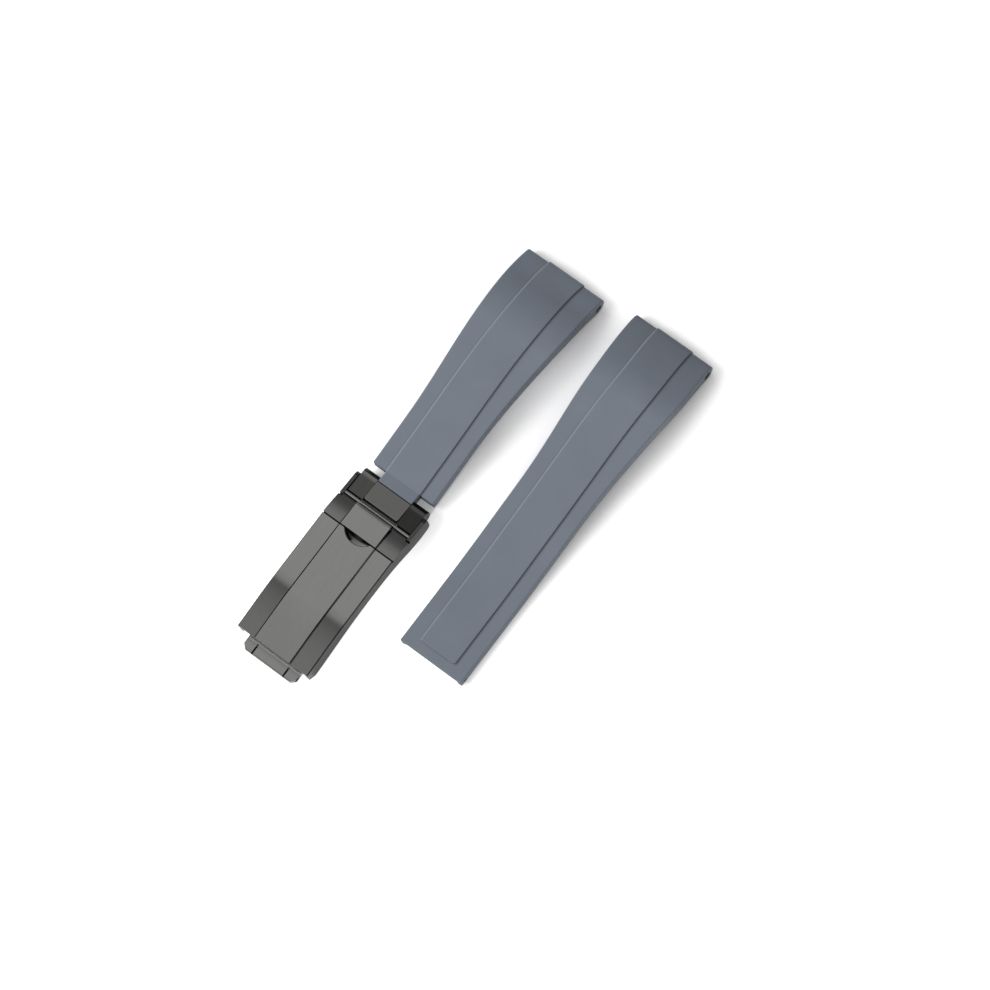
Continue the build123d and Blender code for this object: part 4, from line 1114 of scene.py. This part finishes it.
def link_steel():
    """The link at the clasp's far end."""
    return steel("link_steel", DARK_STEEL, DARK_SURFACE, open_end, [lifted_end])


def tab_steel():
    """The tab in the short half."""
    return steel("tab_steel", TAB_STEEL, TAB_SURFACE)


def bar_steel():
    """The cross bar that the flap turns on."""
    return steel("bar_steel", BAR_STEEL, BAR_SURFACE)


# Stage, light and camera

def seen_share(nodes):
    """1 to the camera, and the share that makes the card just white in metal or glass."""
    path = nodes.add("ShaderNodeLightPath")
    glossy = nodes.times(path.outputs["Is Glossy Ray"], REFLECTED_SHARE)
    through = nodes.times(path.outputs["Is Transmission Ray"], REFLECTED_SHARE)
    return nodes.largest(path.outputs["Is Camera Ray"], glossy, through)


def floor_card():
    """White card that stays white to the camera and still takes the shadows, with painted light beside
    the clasp and a painted contact shadow beside the strap and under the clasp.
    """
    nodes = new_material("floor_card")
    x = nodes.along(0)
    # Painted contact shadow: the glow dims where the card is closed in by the strap or the clasp.
    painted_contact_shadow = nodes.ramp(nodes.crevice(CONTACT_REACH), *CONTACT_MARKS, GLOW_CONTACT, 1.0)
    by_strap = nodes.step(x, GLOW_X)
    beside_loose = nodes.times(nodes.step(nodes.along(1), BESIDE_LOOSE_Y), nodes.step(x, BESIDE_LOOSE_X))
    under_clasp = nodes.times(nodes.step(nodes.off_row(), UNDER_CLASP_Y), nodes.step(x, UNDER_CLASP_X))
    touched = nodes.largest(by_strap, beside_loose, under_clasp)
    # Painted light: the stronger glow beside the clasp washes out its shadow.
    glow = nodes.ramp(x, *GLOW_X, GLOW_CLASP, GLOW_STRAP)
    glow = nodes.times(glow, nodes.mix(touched, WHITE, painted_contact_shadow))
    nodes.feed("Base Color", nodes.mix(nodes.noise(CARD_SCALE), *CARD))
    nodes.feed("Roughness", CARD_ROUGHNESS)
    nodes.feed("Specular IOR Level", CARD_SPECULAR)
    nodes.feed("Emission Color", WHITE)
    nodes.feed("Emission Strength", nodes.times(glow, seen_share(nodes)))
    return nodes.owner


def make_floor():
    half = FLOOR_SIZE / 2
    corners = [(-half, -half), (half, -half), (half, half), (-half, half)]
    mesh = bpy.data.meshes.new("floor")
    mesh.from_pydata([(x, y, -FLOOR_DROP) for x, y in corners], [], [(0, 1, 2, 3)])
    floor = bpy.data.objects.new("floor", mesh)
    floor.data.materials.append(floor_card())
    bpy.context.scene.collection.objects.link(floor)


def make_key_light():
    """One square soft light from behind, aimed at the middle of the part."""
    lamp = bpy.data.lights.new("key", "AREA")
    lamp.shape = "SQUARE"
    lamp.size = KEY_SIZE
    lamp.energy = KEY_POWER
    light = bpy.data.objects.new("key", lamp)
    light.location = KEY_PLACE
    light.rotation_euler = (-Vector(KEY_PLACE)).to_track_quat("-Z", "Y").to_euler()
    light.visible_glossy = False
    bpy.context.scene.collection.objects.link(light)


def make_world():
    """A broad soft overhead sky, stronger from behind and weaker towards the strap's ends."""
    world = bpy.data.worlds.new("studio")
    bpy.context.scene.world = world
    nodes = Nodes(world, "Background", "Generated")
    along = nodes.table(nodes.along(0), SKY_ALONG, "EASE")
    across = nodes.table(nodes.along(1), SKY_ACROSS, "EASE")
    nodes.feed("Color", WHITE)
    nodes.feed("Strength", nodes.times(nodes.times(along, across), SKY_STRENGTH))


def make_camera():
    data = bpy.data.cameras.new("camera")
    data.sensor_fit = "HORIZONTAL"
    data.sensor_width = CAMERA_SENSOR
    data.lens = CAMERA_FOCAL_PIXELS * CAMERA_SENSOR / PHOTO_WIDTH
    data.clip_start, data.clip_end = CAMERA_CLIP
    camera = bpy.data.objects.new("camera", data)
    turn = Euler([math.radians(v) for v in CAMERA_TURN], "XYZ")
    camera.rotation_euler = turn
    ahead = turn.to_matrix() @ Vector((0, 0, -1))
    camera.location = Vector(CAMERA_TARGET) - ahead * CAMERA_DISTANCE
    bpy.context.scene.collection.objects.link(camera)
    bpy.context.scene.camera = camera


# Everything in its place

rubber = strap_rubber()
inner = inner_steel()
BY_SLOT = {
    "strap_rubber": rubber,
    "dark_steel": dark_steel(),
    "inner_steel": inner,
    "black_steel": black_steel(),
}
BY_NODE = {
    "extension_link": link_steel(),
    "tongue_link": tab_steel(),
    "flap_pin": bar_steel(),
}

slots = {part["node"]: part["material_slot"] for part in frame["record"]["subparts"]}
for name, node in frame["nodes"].items():
    material = BY_NODE.get(name, BY_SLOT[slots[name]])
    if not node.material_slots:
        node.data.materials.append(material)
    for place in node.material_slots:
        place.material = material

short_half = make_short_half()
short_half.data.materials.append(rubber)
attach(short_half, "strap_short")
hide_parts("strap_short")

long_half = make_long_half()
long_half.data.materials.append(rubber)
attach(long_half, "strap_long")
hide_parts("strap_long")

for name, side, tip in (
    ("spring_half_left", 1, "spring_bar_tip_left"),
    ("spring_half_right", -1, "spring_bar_tip_right"),
):
    coil = make_spring_half(name, side)
    coil.data.materials.append(inner)
    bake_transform(coil)
    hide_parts("spring_bar_spring")

make_floor()
make_world()
make_key_light()
make_camera()
bpy.context.scene.view_settings.view_transform = "Standard"
